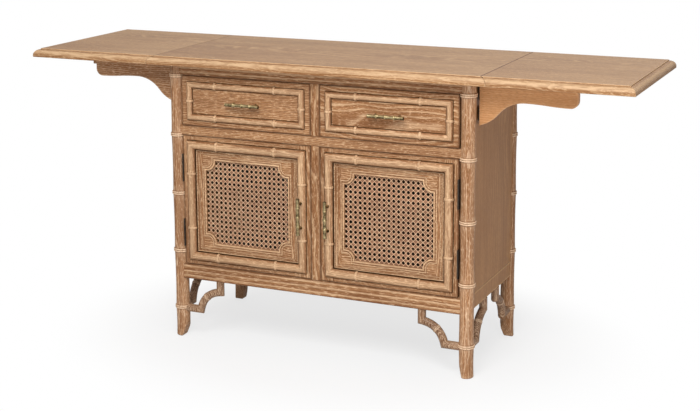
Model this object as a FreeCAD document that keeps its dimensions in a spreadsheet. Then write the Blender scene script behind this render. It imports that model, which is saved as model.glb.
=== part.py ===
# Bar cabinet with two drop-leaf ends, two drawers and two cane doors.
# Millimetres: X to the right, Y to the back, Z up, origin on the floor under the middle of the top.
import FreeCAD, Part
import math
import os
import re
from FreeCAD import Vector

# Driving sizes
SIZES = {
    # top
    "height": 914.0,
    "centre_length": 1067.0,
    "leaf_reach": 441.5,
    "top_depth": 549.0,
    "top_thick": 27.0,
    "edge_step": 3.0,
    "edge_round": 18.5,
    "seam_gap": 1.0,
    # posts
    "case_width": 1007.6,
    "case_front": 227.0,
    "case_back": 212.0,
    "post_width": 45.0,
    "post_waist": 1.2,
    "ring_first": 97.0,
    "ring_pitch": 188.0,
    "ring_high": 12.0,
    "ring_proud": 3.0,
    "foot_high": 52.0,
    "foot_tip": 29.0,
    "post_clear": 0.5,
    # front frame
    "rail_setback": 7.0,
    "rail_thick": 25.0,
    "bottom_rail_low": 194.6,
    "bottom_rail_wide": 49.0,
    "door_opening_high": 418.6,
    "middle_rail_wide": 30.0,
    "drawer_opening_high": 160.0,
    "stile_wide": 30.0,
    "tenon": 10.0,
    # sides and back
    "side_setback": 8.0,
    "side_rail_thick": 20.0,
    "side_rail_low": 205.0,
    "side_rail_wide": 48.0,
    "side_panel_thick": 12.0,
    "back_setback": 9.0,
    "back_rail_thick": 20.0,
    "back_panel_thick": 8.0,
    # inside
    "bottom_thick": 18.0,
    "dust_thick": 12.0,
    "partition_thick": 18.0,
    "shelf_thick": 18.0,
    "shelf_height": 455.0,
    "shelf_clear": 0.5,
    "shelf_setback": 150.0,
    "peg_width": 5.0,
    "peg_inset": 40.0,
    "peg_reach": 10.0,
    "peg_depth": 7.0,
    "runner_high": 12.0,
    "runner_wide": 20.0,
    "runner_inset": 5.0,
    "guide_high": 20.0,
    "cleat_long": 440.0,
    "cleat_thick": 20.0,
    "screw_width": 4.4,
    "screw_head": 9.0,
    "screw_head_high": 3.0,
    "screw_bite": 15.0,
    "screw_spacing": 180.0,
    "catch_long": 25.0,
    "catch_high": 16.0,
    "catch_deep": 30.0,
    "running_gap": 0.3,
    # drawers
    "drawer_gap": 1.5,
    "drawer_front_thick": 20.0,
    "drawer_length": 360.0,
    "drawer_wall": 12.0,
    "drawer_side_high": 115.0,
    "drawer_floor": 6.0,
    "drawer_floor_rise": 8.0,
    "drawer_side_gap": 1.0,
    "drawer_margin": 18.0,
    "drawer_bead_wide": 20.0,
    "drawer_bead_high": 9.0,
    # doors
    "door_gap": 1.5,
    "door_thick": 20.0,
    "door_margin": 15.0,
    "door_bead_wide": 27.0,
    "door_bead_high": 12.0,
    "door_panel_thick": 10.0,
    "door_panel_setback": 4.0,
    "cane_wide": 284.0,
    "cane_high": 266.0,
    "cane_notch": 33.0,
    "cane_notch_step": 8.0,
    "cane_thick": 2.5,
    "cane_lap": 8.0,
    "cane_setback": 4.0,
    "cane_clear": 0.3,
    "cane_pitch": 15.5,
    "cane_hole": 8.0,
    "node_wide": 8.0,
    "node_proud": 2.0,
    "door_node_inset": 105.0,
    "drawer_node_inset": 100.0,
    # pulls
    "pull_long": 114.0,
    "pull_width": 11.5,
    "pull_waist": 0.8,
    "pull_node_wide": 5.0,
    "pull_node_proud": 1.2,
    "pull_node_pitch": 28.5,
    "pull_stand": 20.0,
    "pull_leg_width": 8.0,
    "pull_leg_spacing": 76.0,
    "door_pull_inset": 28.5,
    "door_pull_height": 445.0,
    # hinges
    "door_hinge_long": 88.0,
    "door_hinge_wide": 18.0,
    "door_hinge_plate": 1.5,
    "door_hinge_knuckle": 5.0,
    "door_hinge_upper": 557.0,
    "door_hinge_lower": 347.0,
    "leaf_hinge_long": 40.0,
    "leaf_hinge_short_wing": 45.0,
    "leaf_hinge_long_wing": 70.0,
    "leaf_hinge_plate": 2.5,
    "leaf_hinge_knuckle": 8.0,
    "leaf_hinge_inset": 110.0,
    "leaf_hinge_lift": 1.5,
    "bracket_hinge_long": 40.0,
    "bracket_hinge_wide": 22.0,
    "bracket_hinge_plate": 2.5,
    "bracket_hinge_knuckle": 7.0,
    "bracket_hinge_inset": 35.0,
    "hinge_pin": 3.0,
    "hinge_bite": 0.5,
    "pin_clear": 0.05,
    # brackets and the block under the left leaf
    "bracket_long": 290.0,
    "bracket_thick": 20.0,
    "bracket_deep": 132.0,
    "bracket_tip": 62.0,
    "bracket_tip_round": 22.0,
    "bracket_waist": 56.0,
    "bracket_waist_at": 136.0,
    "bracket_heel": 24.0,
    "bracket_back": 44.0,
    "bracket_offset": 4.0,
    "bracket_clear": 0.3,
    "block_long": 24.0,
    "block_wide": 40.0,
    "block_high": 30.0,
    "block_beyond": 6.0,
    # braces
    "brace_width": 25.0,
    "brace_reach": 117.0,
    "brace_drop": 37.0,
    "brace_foot": 93.0,
    "brace_elbow": 45.0,
    "brace_bow": 17.0,
}

# Sizes that follow from the driving ones
DERIVED = {
    "case_top": "height - top_thick",
    "post_radius": "post_width / 2",
    "post_x": "case_width / 2 - post_radius",
    "front_post_y": "post_radius - case_front",
    "back_post_y": "case_back - post_radius",
    "post_room": "post_radius + ring_proud + post_clear",
    "opening_half": "case_width / 2 - post_width",
    "rail_face": "rail_setback - case_front",
    "rail_back": "rail_face + rail_thick",
    "tenon_end": "opening_half + tenon",
    "door_low": "bottom_rail_low + bottom_rail_wide",
    "door_high": "door_low + door_opening_high",
    "drawer_low": "door_high + middle_rail_wide",
    "drawer_high": "drawer_low + drawer_opening_high",
    "stile_half": "stile_wide / 2",
    "side_face": "case_width / 2 - side_setback",
    "side_inner": "side_face - side_rail_thick",
    "panel_inner": "side_face - side_panel_thick",
    "side_rail_top": "side_rail_low + side_rail_wide",
    "side_upper_low": "case_top - side_rail_wide",
    "side_front": "front_post_y + post_radius - tenon",
    "side_back": "back_post_y - post_radius + tenon",
    "back_face": "case_back - back_setback",
    "back_inner": "back_face - back_rail_thick",
    "back_panel_face": "back_inner + (back_rail_thick - back_panel_thick) / 2",
    "bottom_low": "door_low - bottom_thick",
    "runner_low": "drawer_low - runner_high",
    "dust_low": "runner_low - dust_thick",
    "partition_half": "partition_thick / 2",
    "between_front": "front_post_y + post_room",
    "between_back": "back_post_y - post_room",
    "shelf_front": "between_front + shelf_setback",
    "drawer_inner": "stile_half + drawer_gap",
    "drawer_outer": "opening_half - drawer_gap",
    "drawer_box_inner": "stile_half + drawer_side_gap",
    "drawer_box_outer": "opening_half - drawer_side_gap",
    "drawer_box_low": "drawer_low + running_gap",
    "drawer_box_front": "rail_face + drawer_front_thick",
    "drawer_box_back": "drawer_box_front + drawer_length",
    "door_inner": "stile_half + door_gap",
    "door_outer": "opening_half - door_gap",
    "door_bottom": "door_low + door_gap",
    "door_top": "door_high - door_gap",
    "door_frame_wide": "door_margin + door_bead_wide",
    "door_back": "rail_face + door_thick",
    "door_middle": "(door_inner + door_outer) / 2",
    "door_level": "(door_bottom + door_top) / 2",
    "panel_front": "rail_face + door_panel_setback",
    "cane_front": "panel_front + cane_setback",
    "cane_half_wide": "cane_wide / 2 + cane_lap",
    "cane_half_high": "cane_high / 2 + cane_lap",
    "seam_x": "centre_length / 2",
    "seam_z": "height - edge_step - edge_round",
    "nose_x": "seam_x + edge_round",
    "bracket_axis_x": "side_face + bracket_hinge_plate + bracket_hinge_knuckle / 2 - hinge_bite",
    "bracket_axis_y": "bracket_back - case_front + bracket_thick + bracket_offset",
    "bracket_inner": "bracket_axis_x + bracket_offset",
    "bracket_top": "case_top - bracket_clear",
}

doc = FreeCAD.newDocument("bar_cabinet")
sheet = doc.addObject("Spreadsheet::Sheet", "Sizes")
for row, (alias, entry) in enumerate(list(SIZES.items()) + list(DERIVED.items()), start=1):
    sheet.set(f"A{row}", alias)
    sheet.set(f"B{row}", f"={entry}" if alias in DERIVED else str(entry))
    sheet.setAlias(f"B{row}", alias)
doc.recompute()

ALIASES = sorted(list(SIZES) + list(DERIVED), key=len, reverse=True)
ALIAS_WORD = re.compile(r"\b(" + "|".join(ALIASES) + r")\b")
SIDES = {"left": -1, "right": 1}
nodes = []


class Numbers:
    """The sheet's values as plain numbers."""

    def __getattr__(self, alias):
        return float(getattr(sheet, alias))


mm = Numbers()


def ref(text):
    """An expression with every alias pointed at the sheet."""
    return ALIAS_WORD.sub(r"Sizes.\1", text)


def mirrored(side, low, high):
    """A pair of X edges on the right, or the same pair mirrored to the left."""
    return (low, high) if side > 0 else (f"-({high})", f"-({low})")


def board(name, x, y, z):
    """A plain board between three pairs of bound edges."""
    box = doc.addObject("Part::Box", name)
    for length, axis, (low, high) in zip(("Length", "Width", "Height"), "xyz", (x, y, z)):
        box.setExpression(length, ref(f"({high}) - ({low})"))
        box.setExpression(f"Placement.Base.{axis}", ref(low))
    return box


def rod(name, diameter, length, start, turn):
    """A round rod of bound size, standing on its start point and turned about one axis."""
    cylinder = doc.addObject("Part::Cylinder", name)
    cylinder.setExpression("Radius", ref(f"({diameter}) / 2"))
    cylinder.setExpression("Height", ref(length))
    axis, angle = turn
    cylinder.Placement = FreeCAD.Placement(Vector(0, 0, 0), FreeCAD.Rotation(axis, angle))
    for letter, place in zip("xyz", start):
        cylinder.setExpression(f"Placement.Base.{letter}", ref(place))
    return cylinder


def group(name, members):
    """Separate solids kept together."""
    compound = doc.addObject("Part::Compound", name)
    compound.Links = members
    return compound


def carve(name, base, tools):
    """A base with pockets cut by its neighbours."""
    cut = doc.addObject("Part::Cut", name)
    cut.Base = base
    cut.Tool = tools[0] if len(tools) == 1 else group(f"{name}_pockets", tools)
    return cut


def form(name, shape):
    """A shape worked out from the sheet's numbers."""
    feature = doc.addObject("Part::Feature", name)
    feature.Shape = shape
    return feature


def node(label, piece):
    """Names a finished piece and keeps it for export."""
    piece.Label = label
    nodes.append(piece)
    return piece


def flip(shape, side):
    """The shape as built on the right, or mirrored across the middle."""
    return shape if side > 0 else shape.mirror(Vector(0, 0, 0), Vector(1, 0, 0))


def block(x, y, z):
    """A box shape between three pairs of numbers."""
    return Part.makeBox(x[1] - x[0], y[1] - y[0], z[1] - z[0], Vector(x[0], y[0], z[0]))


def arc(start, middle, end):
    return Part.Arc(Vector(*start), Vector(*middle), Vector(*end)).toShape()


def line(start, end):
    return Part.LineSegment(Vector(*start), Vector(*end)).toShape()


def prism(edges, along):
    """The solid swept by a closed flat outline."""
    return Part.Face(Part.Wire(edges)).extrude(Vector(*along))


def polygon(points, along):
    """The solid swept by a closed flat outline of straight edges."""
    return Part.Face(Part.makePolygon([Vector(*p) for p in points + points[:1]])).extrude(Vector(*along))


# Turned rods in the bamboo manner
def bamboo(low, high, rings, radius, waist, ring_high, ring_proud):
    """A rod about Z whose double-bead rings stand at the given heights, slimmer between them."""
    edges = []
    at = low
    for ring in list(rings) + [None]:
        until = high if ring is None else ring - ring_high / 2
        edges.append(arc((radius, 0, at), (radius - waist, 0, (at + until) / 2), (radius, 0, until)))
        at = until
        for _ in range(0 if ring is None else 2):
            top = at + ring_high / 2
            edges.append(arc((radius, 0, at), (radius + ring_proud, 0, (at + top) / 2), (radius, 0, top)))
            at = top
    edges.append(line((radius, 0, high), (0, 0, high)))
    edges.append(line((0, 0, high), (0, 0, low)))
    edges.append(line((0, 0, low), (radius, 0, low)))
    return Part.Face(Part.Wire(edges)).revolve(Vector(0, 0, 0), Vector(0, 0, 1), 360)


def post_blank(side, back):
    """A corner post: ringed rod whose foot tapers on the two sides that face the case."""
    radius = mm.post_radius
    count = int((mm.case_top - mm.ring_first) // mm.ring_pitch) + 1
    rings = [mm.ring_first + i * mm.ring_pitch for i in range(count)]
    shape = bamboo(0, mm.case_top, rings, radius, mm.post_waist, mm.ring_high, mm.ring_proud)
    clear = 2 * radius
    wedge = [(-clear, 0, 0), (radius - mm.foot_tip, 0, 0), (-radius, 0, mm.foot_high),
             (-clear, 0, mm.foot_high)]
    taper = polygon(wedge, (0, 2 * clear, 0))
    taper.translate(Vector(0, -clear, 0))
    shape = shape.cut(taper)
    taper.rotate(Vector(0, 0, 0), Vector(0, 0, 1), -90 if back else 90)
    # the second wedge leans towards the middle of the case's depth
    taper = taper.mirror(Vector(0, 0, 0), Vector(0, 1, 0))
    shape = shape.cut(taper)
    shape.translate(Vector(mm.post_x, mm.back_post_y if back else mm.front_post_y, 0))
    return flip(shape, side)


def brace(rail_low):
    """A bent rod in the XZ plane, from a rail's underside at reach to the post at X = 0."""
    top = Vector(-mm.brace_reach, 0, rail_low)
    knee = Vector(-mm.brace_reach, 0, rail_low - mm.brace_drop)
    heel = Vector(-mm.brace_elbow, 0, mm.brace_foot)
    end = Vector(mm.tenon, 0, mm.brace_foot)
    chord = heel - knee
    outward = Vector(-chord.z, 0, chord.x).normalize()
    middle = (knee + heel) * 0.5 + outward * mm.brace_bow
    path = Part.Wire([Part.LineSegment(top, knee).toShape(), Part.Arc(knee, middle, heel).toShape(),
                      Part.LineSegment(heel, end).toShape()])
    ring = Part.Wire(Part.makeCircle(mm.brace_width / 2, top, Vector(0, 0, -1)))
    bent = path.makePipeShell([ring], True, False, 2)
    bead = mm.node_wide / 2
    knot = Part.makeTorus(mm.brace_width / 2 + mm.node_proud - bead, bead, middle, chord)
    return bent.fuse(knot)


# Mitred half-round mouldings
def bead_side(length, half_height, wide, high, places):
    """The lower side of a mitred frame: a half round on Y = 0, with raised nodes placed from its middle."""
    low = -half_height

    def half_round(start, end, extra):
        top = low + wide + extra
        edges = [arc((start, 0, low - extra), (start, -high - extra, low + wide / 2), (start, 0, top)),
                 line((start, 0, top), (start, 0, low - extra))]
        return prism(edges, (end - start, 0, 0))

    shape = half_round(-length / 2, length / 2, 0)
    mitre = [(-length / 2, 0, low), (length / 2, 0, low),
             (length / 2 - wide, 0, low + wide), (wide - length / 2, 0, low + wide)]
    keep = polygon(mitre, (0, -2 * high, 0))
    shape = shape.common(keep)
    for middle in places:
        shape = shape.fuse(half_round(middle - mm.node_wide / 2, middle + mm.node_wide / 2, mm.node_proud))
    return shape


def bead_frame(name, width, height, wide, high, node_inset, centre):
    """Four mitred half rounds round a rectangle: nodes set in from their ends, or one on a short side."""
    sides = []
    for quarter in range(4):
        upright = quarter % 2
        length, across = (height, width) if upright else (width, height)
        from_middle = length / 2 - node_inset
        places = (-from_middle, from_middle) if from_middle > mm.node_wide else (0,)
        side = bead_side(length, across / 2, wide, high, places)
        side.rotate(Vector(0, 0, 0), Vector(0, 1, 0), 90 * quarter)
        side.translate(Vector(*centre))
        sides.append(side)
    return form(name, Part.makeCompound(sides))


# Hinges
def hinge_wing(axis, plate, reach, long, knuckle, own_knuckles, hole):
    """One wing of a butt hinge about Z at the origin's height: knuckles, their tabs and a screw plate.

    plate gives the plate's two X offsets from the axis, and reach how far it goes along Y, with its sign.
    """
    radius = knuckle / 2
    step = long / 3
    sign = math.copysign(1, reach)
    start = sign * (radius + mm.running_gap)
    wing = block(plate, sorted((start, reach)), (-long / 2, long / 2))
    for index in own_knuckles:
        low = (index - 1.5) * step + mm.running_gap / 2
        high = low + step - mm.running_gap
        barrel = Part.makeCylinder(radius, high - low, Vector(0, 0, low))
        tab = block(plate, sorted((0, start + sign * mm.running_gap)), (low, high))
        wing = wing.fuse(barrel).fuse(tab)
    bore = Part.makeCylinder(hole / 2, 2 * long, Vector(0, 0, -long))
    wing = wing.cut(bore).removeSplitter()
    wing.translate(Vector(*axis))
    return wing


FIXED_KNUCKLE = (1,)
MOVING_KNUCKLES = (0, 2)


# Top: the edge profile, and the rule joint that carries it across the seams
def edge_profile(half, at):
    """The outline of a moulded board across one axis: step, ovolo and nose on both edges."""
    shoulder = half - mm.edge_round
    spring = mm.height - mm.edge_step
    nose = spring - mm.edge_round
    middle = mm.edge_round * math.sqrt(0.5)

    def bend(sign):
        crown = at(sign * (shoulder + middle), nose + middle)
        return arc(at(sign * shoulder, spring), crown, at(sign * half, nose))

    return [line(at(-half, mm.case_top), at(half, mm.case_top)), line(at(half, mm.case_top), at(half, nose)),
            bend(1), line(at(shoulder, spring), at(shoulder, mm.height)),
            line(at(shoulder, mm.height), at(-shoulder, mm.height)),
            line(at(-shoulder, mm.height), at(-shoulder, spring)),
            bend(-1), line(at(-half, nose), at(-half, mm.case_top))]


def across_depth(low, high):
    """The moulded section of the top, front to back, swept from one X to another."""
    edges = edge_profile(mm.top_depth / 2, lambda across, up: (low, across, up))
    return prism(edges, (high - low, 0, 0))


def centre_top():
    reach = mm.nose_x
    ends = edge_profile(reach, lambda across, up: (across, -mm.top_depth, up))
    return across_depth(-reach, reach).common(prism(ends, (0, 2 * mm.top_depth, 0)))


def leaf_board():
    """The right leaf: a hollow round the seam's axis at its inner end, the moulded edge at its outer end."""
    outer = mm.seam_x + mm.leaf_reach
    shoulder = outer - mm.edge_round
    spring = mm.height - mm.edge_step
    hollow = mm.edge_round + mm.seam_gap
    depth = -mm.top_depth
    lip = mm.seam_z + math.sqrt(hollow ** 2 - mm.seam_gap ** 2)
    bend = mm.edge_round * math.sqrt(0.5)
    dip = hollow * math.sqrt(0.5)
    edges = [line((mm.seam_x + hollow, depth, mm.case_top), (outer, depth, mm.case_top)),
             line((outer, depth, mm.case_top), (outer, depth, mm.seam_z)),
             arc((outer, depth, mm.seam_z), (shoulder + bend, depth, mm.seam_z + bend),
                 (shoulder, depth, spring)),
             line((shoulder, depth, spring), (shoulder, depth, mm.height)),
             line((shoulder, depth, mm.height), (mm.seam_x + mm.seam_gap, depth, mm.height)),
             line((mm.seam_x + mm.seam_gap, depth, mm.height), (mm.seam_x + mm.seam_gap, depth, lip)),
             arc((mm.seam_x + mm.seam_gap, depth, lip), (mm.seam_x + dip, depth, mm.seam_z + dip),
                 (mm.seam_x + hollow, depth, mm.seam_z)),
             line((mm.seam_x + hollow, depth, mm.seam_z), (mm.seam_x + hollow, depth, mm.case_top))]
    return prism(edges, (0, 2 * mm.top_depth, 0)).common(across_depth(mm.seam_x, outer))


def ogee(start, end, at):
    """Two equal arcs that leave one point level, turn over half way and reach another point level."""
    run, fall = (end[0] - start[0]) / 2, (end[1] - start[1]) / 2
    radius = (run ** 2 + fall ** 2) / (2 * fall)
    half_turn = math.atan2(fall, abs(run))
    across = math.copysign(1, run) * radius * math.sin(half_turn)
    down = radius * (1 - math.cos(half_turn))
    middle = (start[0] + run, start[1] + fall)
    return [arc(at(*start), at(start[0] + across, start[1] + down), at(*middle)),
            arc(at(*middle), at(end[0] - across, end[1] - down), at(*end))]


def bracket_board():
    """The right swing bracket: straight on top, round at its tip, an ogee below that the hinge end cuts off."""
    inner, top, tip, turn = mm.bracket_inner, mm.bracket_top, mm.bracket_tip, mm.bracket_tip_round
    front = mm.bracket_axis_y - mm.bracket_offset - mm.bracket_thick
    outer = inner + mm.bracket_long
    bend = turn * (1 - math.sqrt(0.5))
    waist = (inner + mm.bracket_waist_at, mm.bracket_waist)
    heel = (inner - mm.bracket_heel, mm.bracket_deep)

    def at(x, drop):
        return (x, front, top - drop)

    edges = [line(at(heel[0], 0), at(outer, 0)), line(at(outer, 0), at(outer, tip - turn)),
             arc(at(outer, tip - turn), at(outer - bend, tip - bend), at(outer - turn, tip)),
             *ogee((outer - turn, tip), waist, at), *ogee(waist, heel, at), line(at(*heel), at(heel[0], 0))]
    hinge_end = block((inner, outer), (front, front + mm.bracket_thick), (top - mm.bracket_deep, top))
    return prism(edges, (0, mm.bracket_thick, 0)).common(hinge_end)


# Doors
def cane_outline(y):
    """The shaped opening's edges about the origin: a rectangle, its corners notched by a stepped scoop."""
    half_wide, half_high = mm.cane_wide / 2, mm.cane_high / 2
    notch, step = mm.cane_notch, mm.cane_notch_step
    scoop = math.hypot(notch, step) * math.sqrt(0.5)
    edges = []
    previous = None
    for sign_x, sign_z, upright_first in ((1, 1, False), (1, -1, True), (-1, -1, False), (-1, 1, True)):
        def corner(in_x, in_z):
            return (sign_x * (half_wide - in_x), y, sign_z * (half_high - in_z))
        points = [corner(notch, 0), corner(notch, step), corner(scoop, scoop), corner(step, notch),
                  corner(0, notch)]
        if upright_first:
            points.reverse()
        if previous:
            edges.append(line(previous, points[0]))
        edges.append(line(points[0], points[1]))
        edges.append(arc(points[1], points[2], points[3]))
        edges.append(line(points[3], points[4]))
        previous = points[4]
    edges.append(line(previous, (half_wide - notch, y, half_high)))
    return edges


def cane_net():
    """The woven panel as a flat net: eight-sided gaps on a square grid, left out where the notches are."""
    half_wide, half_high = mm.cane_half_wide, mm.cane_half_high
    columns = int((mm.cane_wide - mm.cane_hole) // mm.cane_pitch)
    rows = int((mm.cane_high - mm.cane_hole) // mm.cane_pitch) + 1
    cut_corner = round(mm.cane_notch / mm.cane_pitch)
    radius = mm.cane_hole / 2 / math.cos(math.pi / 8)
    wires = [Part.makePolygon([Vector(x, 0, z) for x, z in (
        (-half_wide, -half_high), (half_wide, -half_high), (half_wide, half_high), (-half_wide, half_high),
        (-half_wide, -half_high))])]
    for row in range(rows):
        for column in range(columns):
            if min(row, rows - 1 - row) < cut_corner and min(column, columns - 1 - column) < cut_corner:
                continue
            x = (column - (columns - 1) / 2) * mm.cane_pitch
            z = (row - (rows - 1) / 2) * mm.cane_pitch
            corners = [(x + radius * math.cos(a), z + radius * math.sin(a))
                       for a in (math.pi / 8 + i * math.pi / 4 for i in range(9))]
            wires.append(Part.makePolygon([Vector(u, 0, w) for u, w in corners]))
    face = Part.makeFace(wires, "Part::FaceMakerBullseye")
    return face.extrude(Vector(0, mm.cane_thick, 0))


# Pulls
def pull_bar(upright):
    """A bar with bamboo nodes on two legs, about the origin, its legs ending on Y = 0."""
    nodes_at = [step * mm.pull_node_pitch for step in (-1, 0, 1)]
    bar = bamboo(-mm.pull_long / 2, mm.pull_long / 2, nodes_at, mm.pull_width / 2, mm.pull_waist,
                 mm.pull_node_wide, mm.pull_node_proud)
    bar.translate(Vector(0, -mm.pull_stand, 0))
    for end in (-1, 1):
        leg = Part.makeCylinder(mm.pull_leg_width / 2, mm.pull_stand,
                                Vector(0, 0, end * mm.pull_leg_spacing / 2), Vector(0, -1, 0))
        bar = bar.fuse(leg)
    if not upright:
        bar.rotate(Vector(0, 0, 0), Vector(0, 1, 0), 90)
    return bar


# Front frame
def front_rail(name, low, high):
    span = ("-tenon_end", "tenon_end")
    return node(name, board(f"{name}_board", span, ("rail_face", "rail_back"), (low, high)))


top_rail = front_rail("front_top_rail", "drawer_high", "case_top")
middle_rail = front_rail("front_middle_rail", "door_high", "drawer_low")
bottom_rail = front_rail("front_bottom_rail", "bottom_rail_low", "door_low")
stile_span = ("-stile_half", "stile_half")
frame_depth = ("rail_face", "rail_back")
node("centre_stiles", group("stiles", [
    board("drawer_stile", stile_span, frame_depth, ("drawer_low", "drawer_high")),
    board("door_stile", stile_span, frame_depth, ("door_low", "door_high"))]))

# Sides
side_run = ("side_front", "side_back")
side_rails = {}
side_boards = {}
pegs = []
for word, side in SIDES.items():
    across = mirrored(side, "side_inner", "side_face")
    side_rails[word] = [
        board(f"side_lower_{word}", across, side_run, ("side_rail_low", "side_rail_top")),
        board(f"side_upper_{word}", across, side_run, ("side_upper_low", "case_top"))]
    side_boards[word] = board(f"side_board_{word}", mirrored(side, "panel_inner", "side_face"), side_run,
                              ("side_rail_top", "side_upper_low"))
    peg_low = ("panel_inner - peg_reach", "partition_half - peg_depth")
    for start in peg_low:
        for spot in ("shelf_front + peg_inset", "between_back - peg_inset"):
            low, high = mirrored(side, start, f"{start} + peg_reach + peg_depth")
            pegs.append(rod(f"peg_{word}_{len(pegs)}", "peg_width", "peg_reach + peg_depth",
                            (low, spot, "shelf_height - peg_width / 2"), (Vector(0, 1, 0), 90)))
peg_group = node("shelf_pegs", group("pegs", pegs))
node("side_lower_rails", group("lower_rails", [side_rails[word][0] for word in SIDES]))
node("side_upper_rails", group("upper_rails", [side_rails[word][1] for word in SIDES]))
bored_panels = [carve(f"side_panel_{word}", side_boards[word], [peg_group]) for word in SIDES]
node("side_panels", group("panels", bored_panels))

# Back
back_span = ("-(post_x - post_radius + tenon)", "post_x - post_radius + tenon")
back_depth = ("back_inner", "back_face")
back_rails = [board("back_lower", back_span, back_depth, ("side_rail_low", "side_rail_top")),
              board("back_upper", back_span, back_depth, ("side_upper_low", "case_top"))]
node("back_rails", group("rails_at_back", back_rails))
back_panel_depth = ("back_panel_face", "back_panel_face + back_panel_thick")
back_panel = node("back_panel", board("back_board", back_span, back_panel_depth,
                                      ("side_rail_top", "side_upper_low")))


def post_notches(name, low, high):
    """Room round the four posts, to be cut from a board."""
    notches = []
    for side in SIDES.values():
        across = mirrored(side, "post_x - post_room", "post_x + post_room")
        for place in ("front_post_y", "back_post_y"):
            notches.append(board(f"{name}_notch_{len(notches)}", across,
                                 (f"{place} - post_room", f"{place} + post_room"), (low, high)))
    return notches


# Inside
inner_depth = ("rail_back", "back_inner")
bottom = board("bottom_blank", ("-side_inner", "side_inner"), inner_depth, ("bottom_low", "door_low"))
node("bottom_board", carve("bottom", bottom, post_notches("bottom", "bottom_low", "door_low")))
dust_depth = ("rail_back", "back_panel_face")
dust = board("dust_blank", ("-panel_inner", "panel_inner"), dust_depth, ("dust_low", "runner_low"))
node("dust_panel", carve("dust", dust, post_notches("dust", "dust_low", "runner_low")))
partition_span = ("-partition_half", "partition_half")
partition = board("partition_blank", partition_span, inner_depth, ("door_low", "dust_low"))
node("centre_partition", carve("partition", partition, [peg_group]))
shelf_boards = []
for word, side in SIDES.items():
    across = mirrored(side, "partition_half + shelf_clear", "panel_inner - shelf_clear")
    shelf_boards.append(board(f"shelf_{word}", across, ("shelf_front", "between_back"),
                              ("shelf_height", "shelf_height + shelf_thick")))
node("shelves", group("shelf_pair", shelf_boards))
runners = []
guide_tall = ("runner_low", "drawer_low + guide_high")
guides = [board("guide_centre", stile_span, inner_depth, guide_tall)]
for word, side in SIDES.items():
    for place, low in (("inner", "stile_half"), ("outer", "opening_half - runner_inset - runner_wide")):
        runners.append(board(f"runner_{word}_{place}", mirrored(side, low, f"{low} + runner_wide"),
                             inner_depth, ("runner_low", "drawer_low")))
    guides.append(board(f"guide_{word}", mirrored(side, "opening_half", "panel_inner"),
                        ("between_front", "between_back"), guide_tall))
node("drawer_runners", group("runner_set", runners))
node("drawer_guides", group("guide_set", guides))
catches = [board(f"catch_{word}", mirrored(side, "stile_half", "stile_half + catch_long"),
                 ("door_back + running_gap", "door_back + running_gap + catch_deep"),
                 ("door_high - catch_high", "door_high")) for word, side in SIDES.items()]
node("door_catches", group("catch_pair", catches))

# Top and what holds it
cleat_span = ("-cleat_long / 2", "cleat_long / 2")
cleat_rows = {"front": "rail_back", "back": "back_inner - cleat_thick"}
screws = []
cleats = []
for place, start in cleat_rows.items():
    cleats.append(board(f"cleat_{place}", cleat_span, (start, f"{start} + cleat_thick"),
                        ("case_top - cleat_thick", "case_top")))
    for step in (-1, 0, 1):
        spot = (f"{step} * screw_spacing", f"{start} + cleat_thick / 2")
        shank = rod(f"shank_{len(screws)}", "screw_width", "cleat_thick + screw_bite",
                    (*spot, "case_top - cleat_thick"), (Vector(0, 0, 1), 0))
        head = rod(f"head_{len(screws)}", "screw_head", "screw_head_high",
                   (*spot, "case_top - cleat_thick - screw_head_high"), (Vector(0, 0, 1), 0))
        screw = doc.addObject("Part::Fuse", f"screw_{len(screws)}")
        screw.Base = shank
        screw.Tool = head
        screws.append(screw)
screw_group = node("top_screws", group("screw_set", screws))
bored_cleats = [carve(f"{cleat.Name}_bored", cleat, [screw_group]) for cleat in cleats]
node("top_cleats", group("cleat_pair", bored_cleats))


def leaf_wing(side, row, reach, knuckles, hole):
    """A drop-leaf hinge wing: built about Z, then laid along Y on the seam's axis."""
    drop = mm.case_top - mm.seam_z
    plate = (drop, drop + mm.leaf_hinge_plate)
    wing = hinge_wing((0, 0, 0), plate, reach, mm.leaf_hinge_long, mm.leaf_hinge_knuckle, knuckles, hole)
    # a third of a turn about the cube's diagonal: X of the built wing becomes up, Y becomes X and Z becomes Y
    wing.rotate(Vector(0, 0, 0), Vector(1, 1, 1), 240)
    wing.translate(Vector(mm.seam_x, row, mm.seam_z))
    return flip(wing, side)


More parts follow.
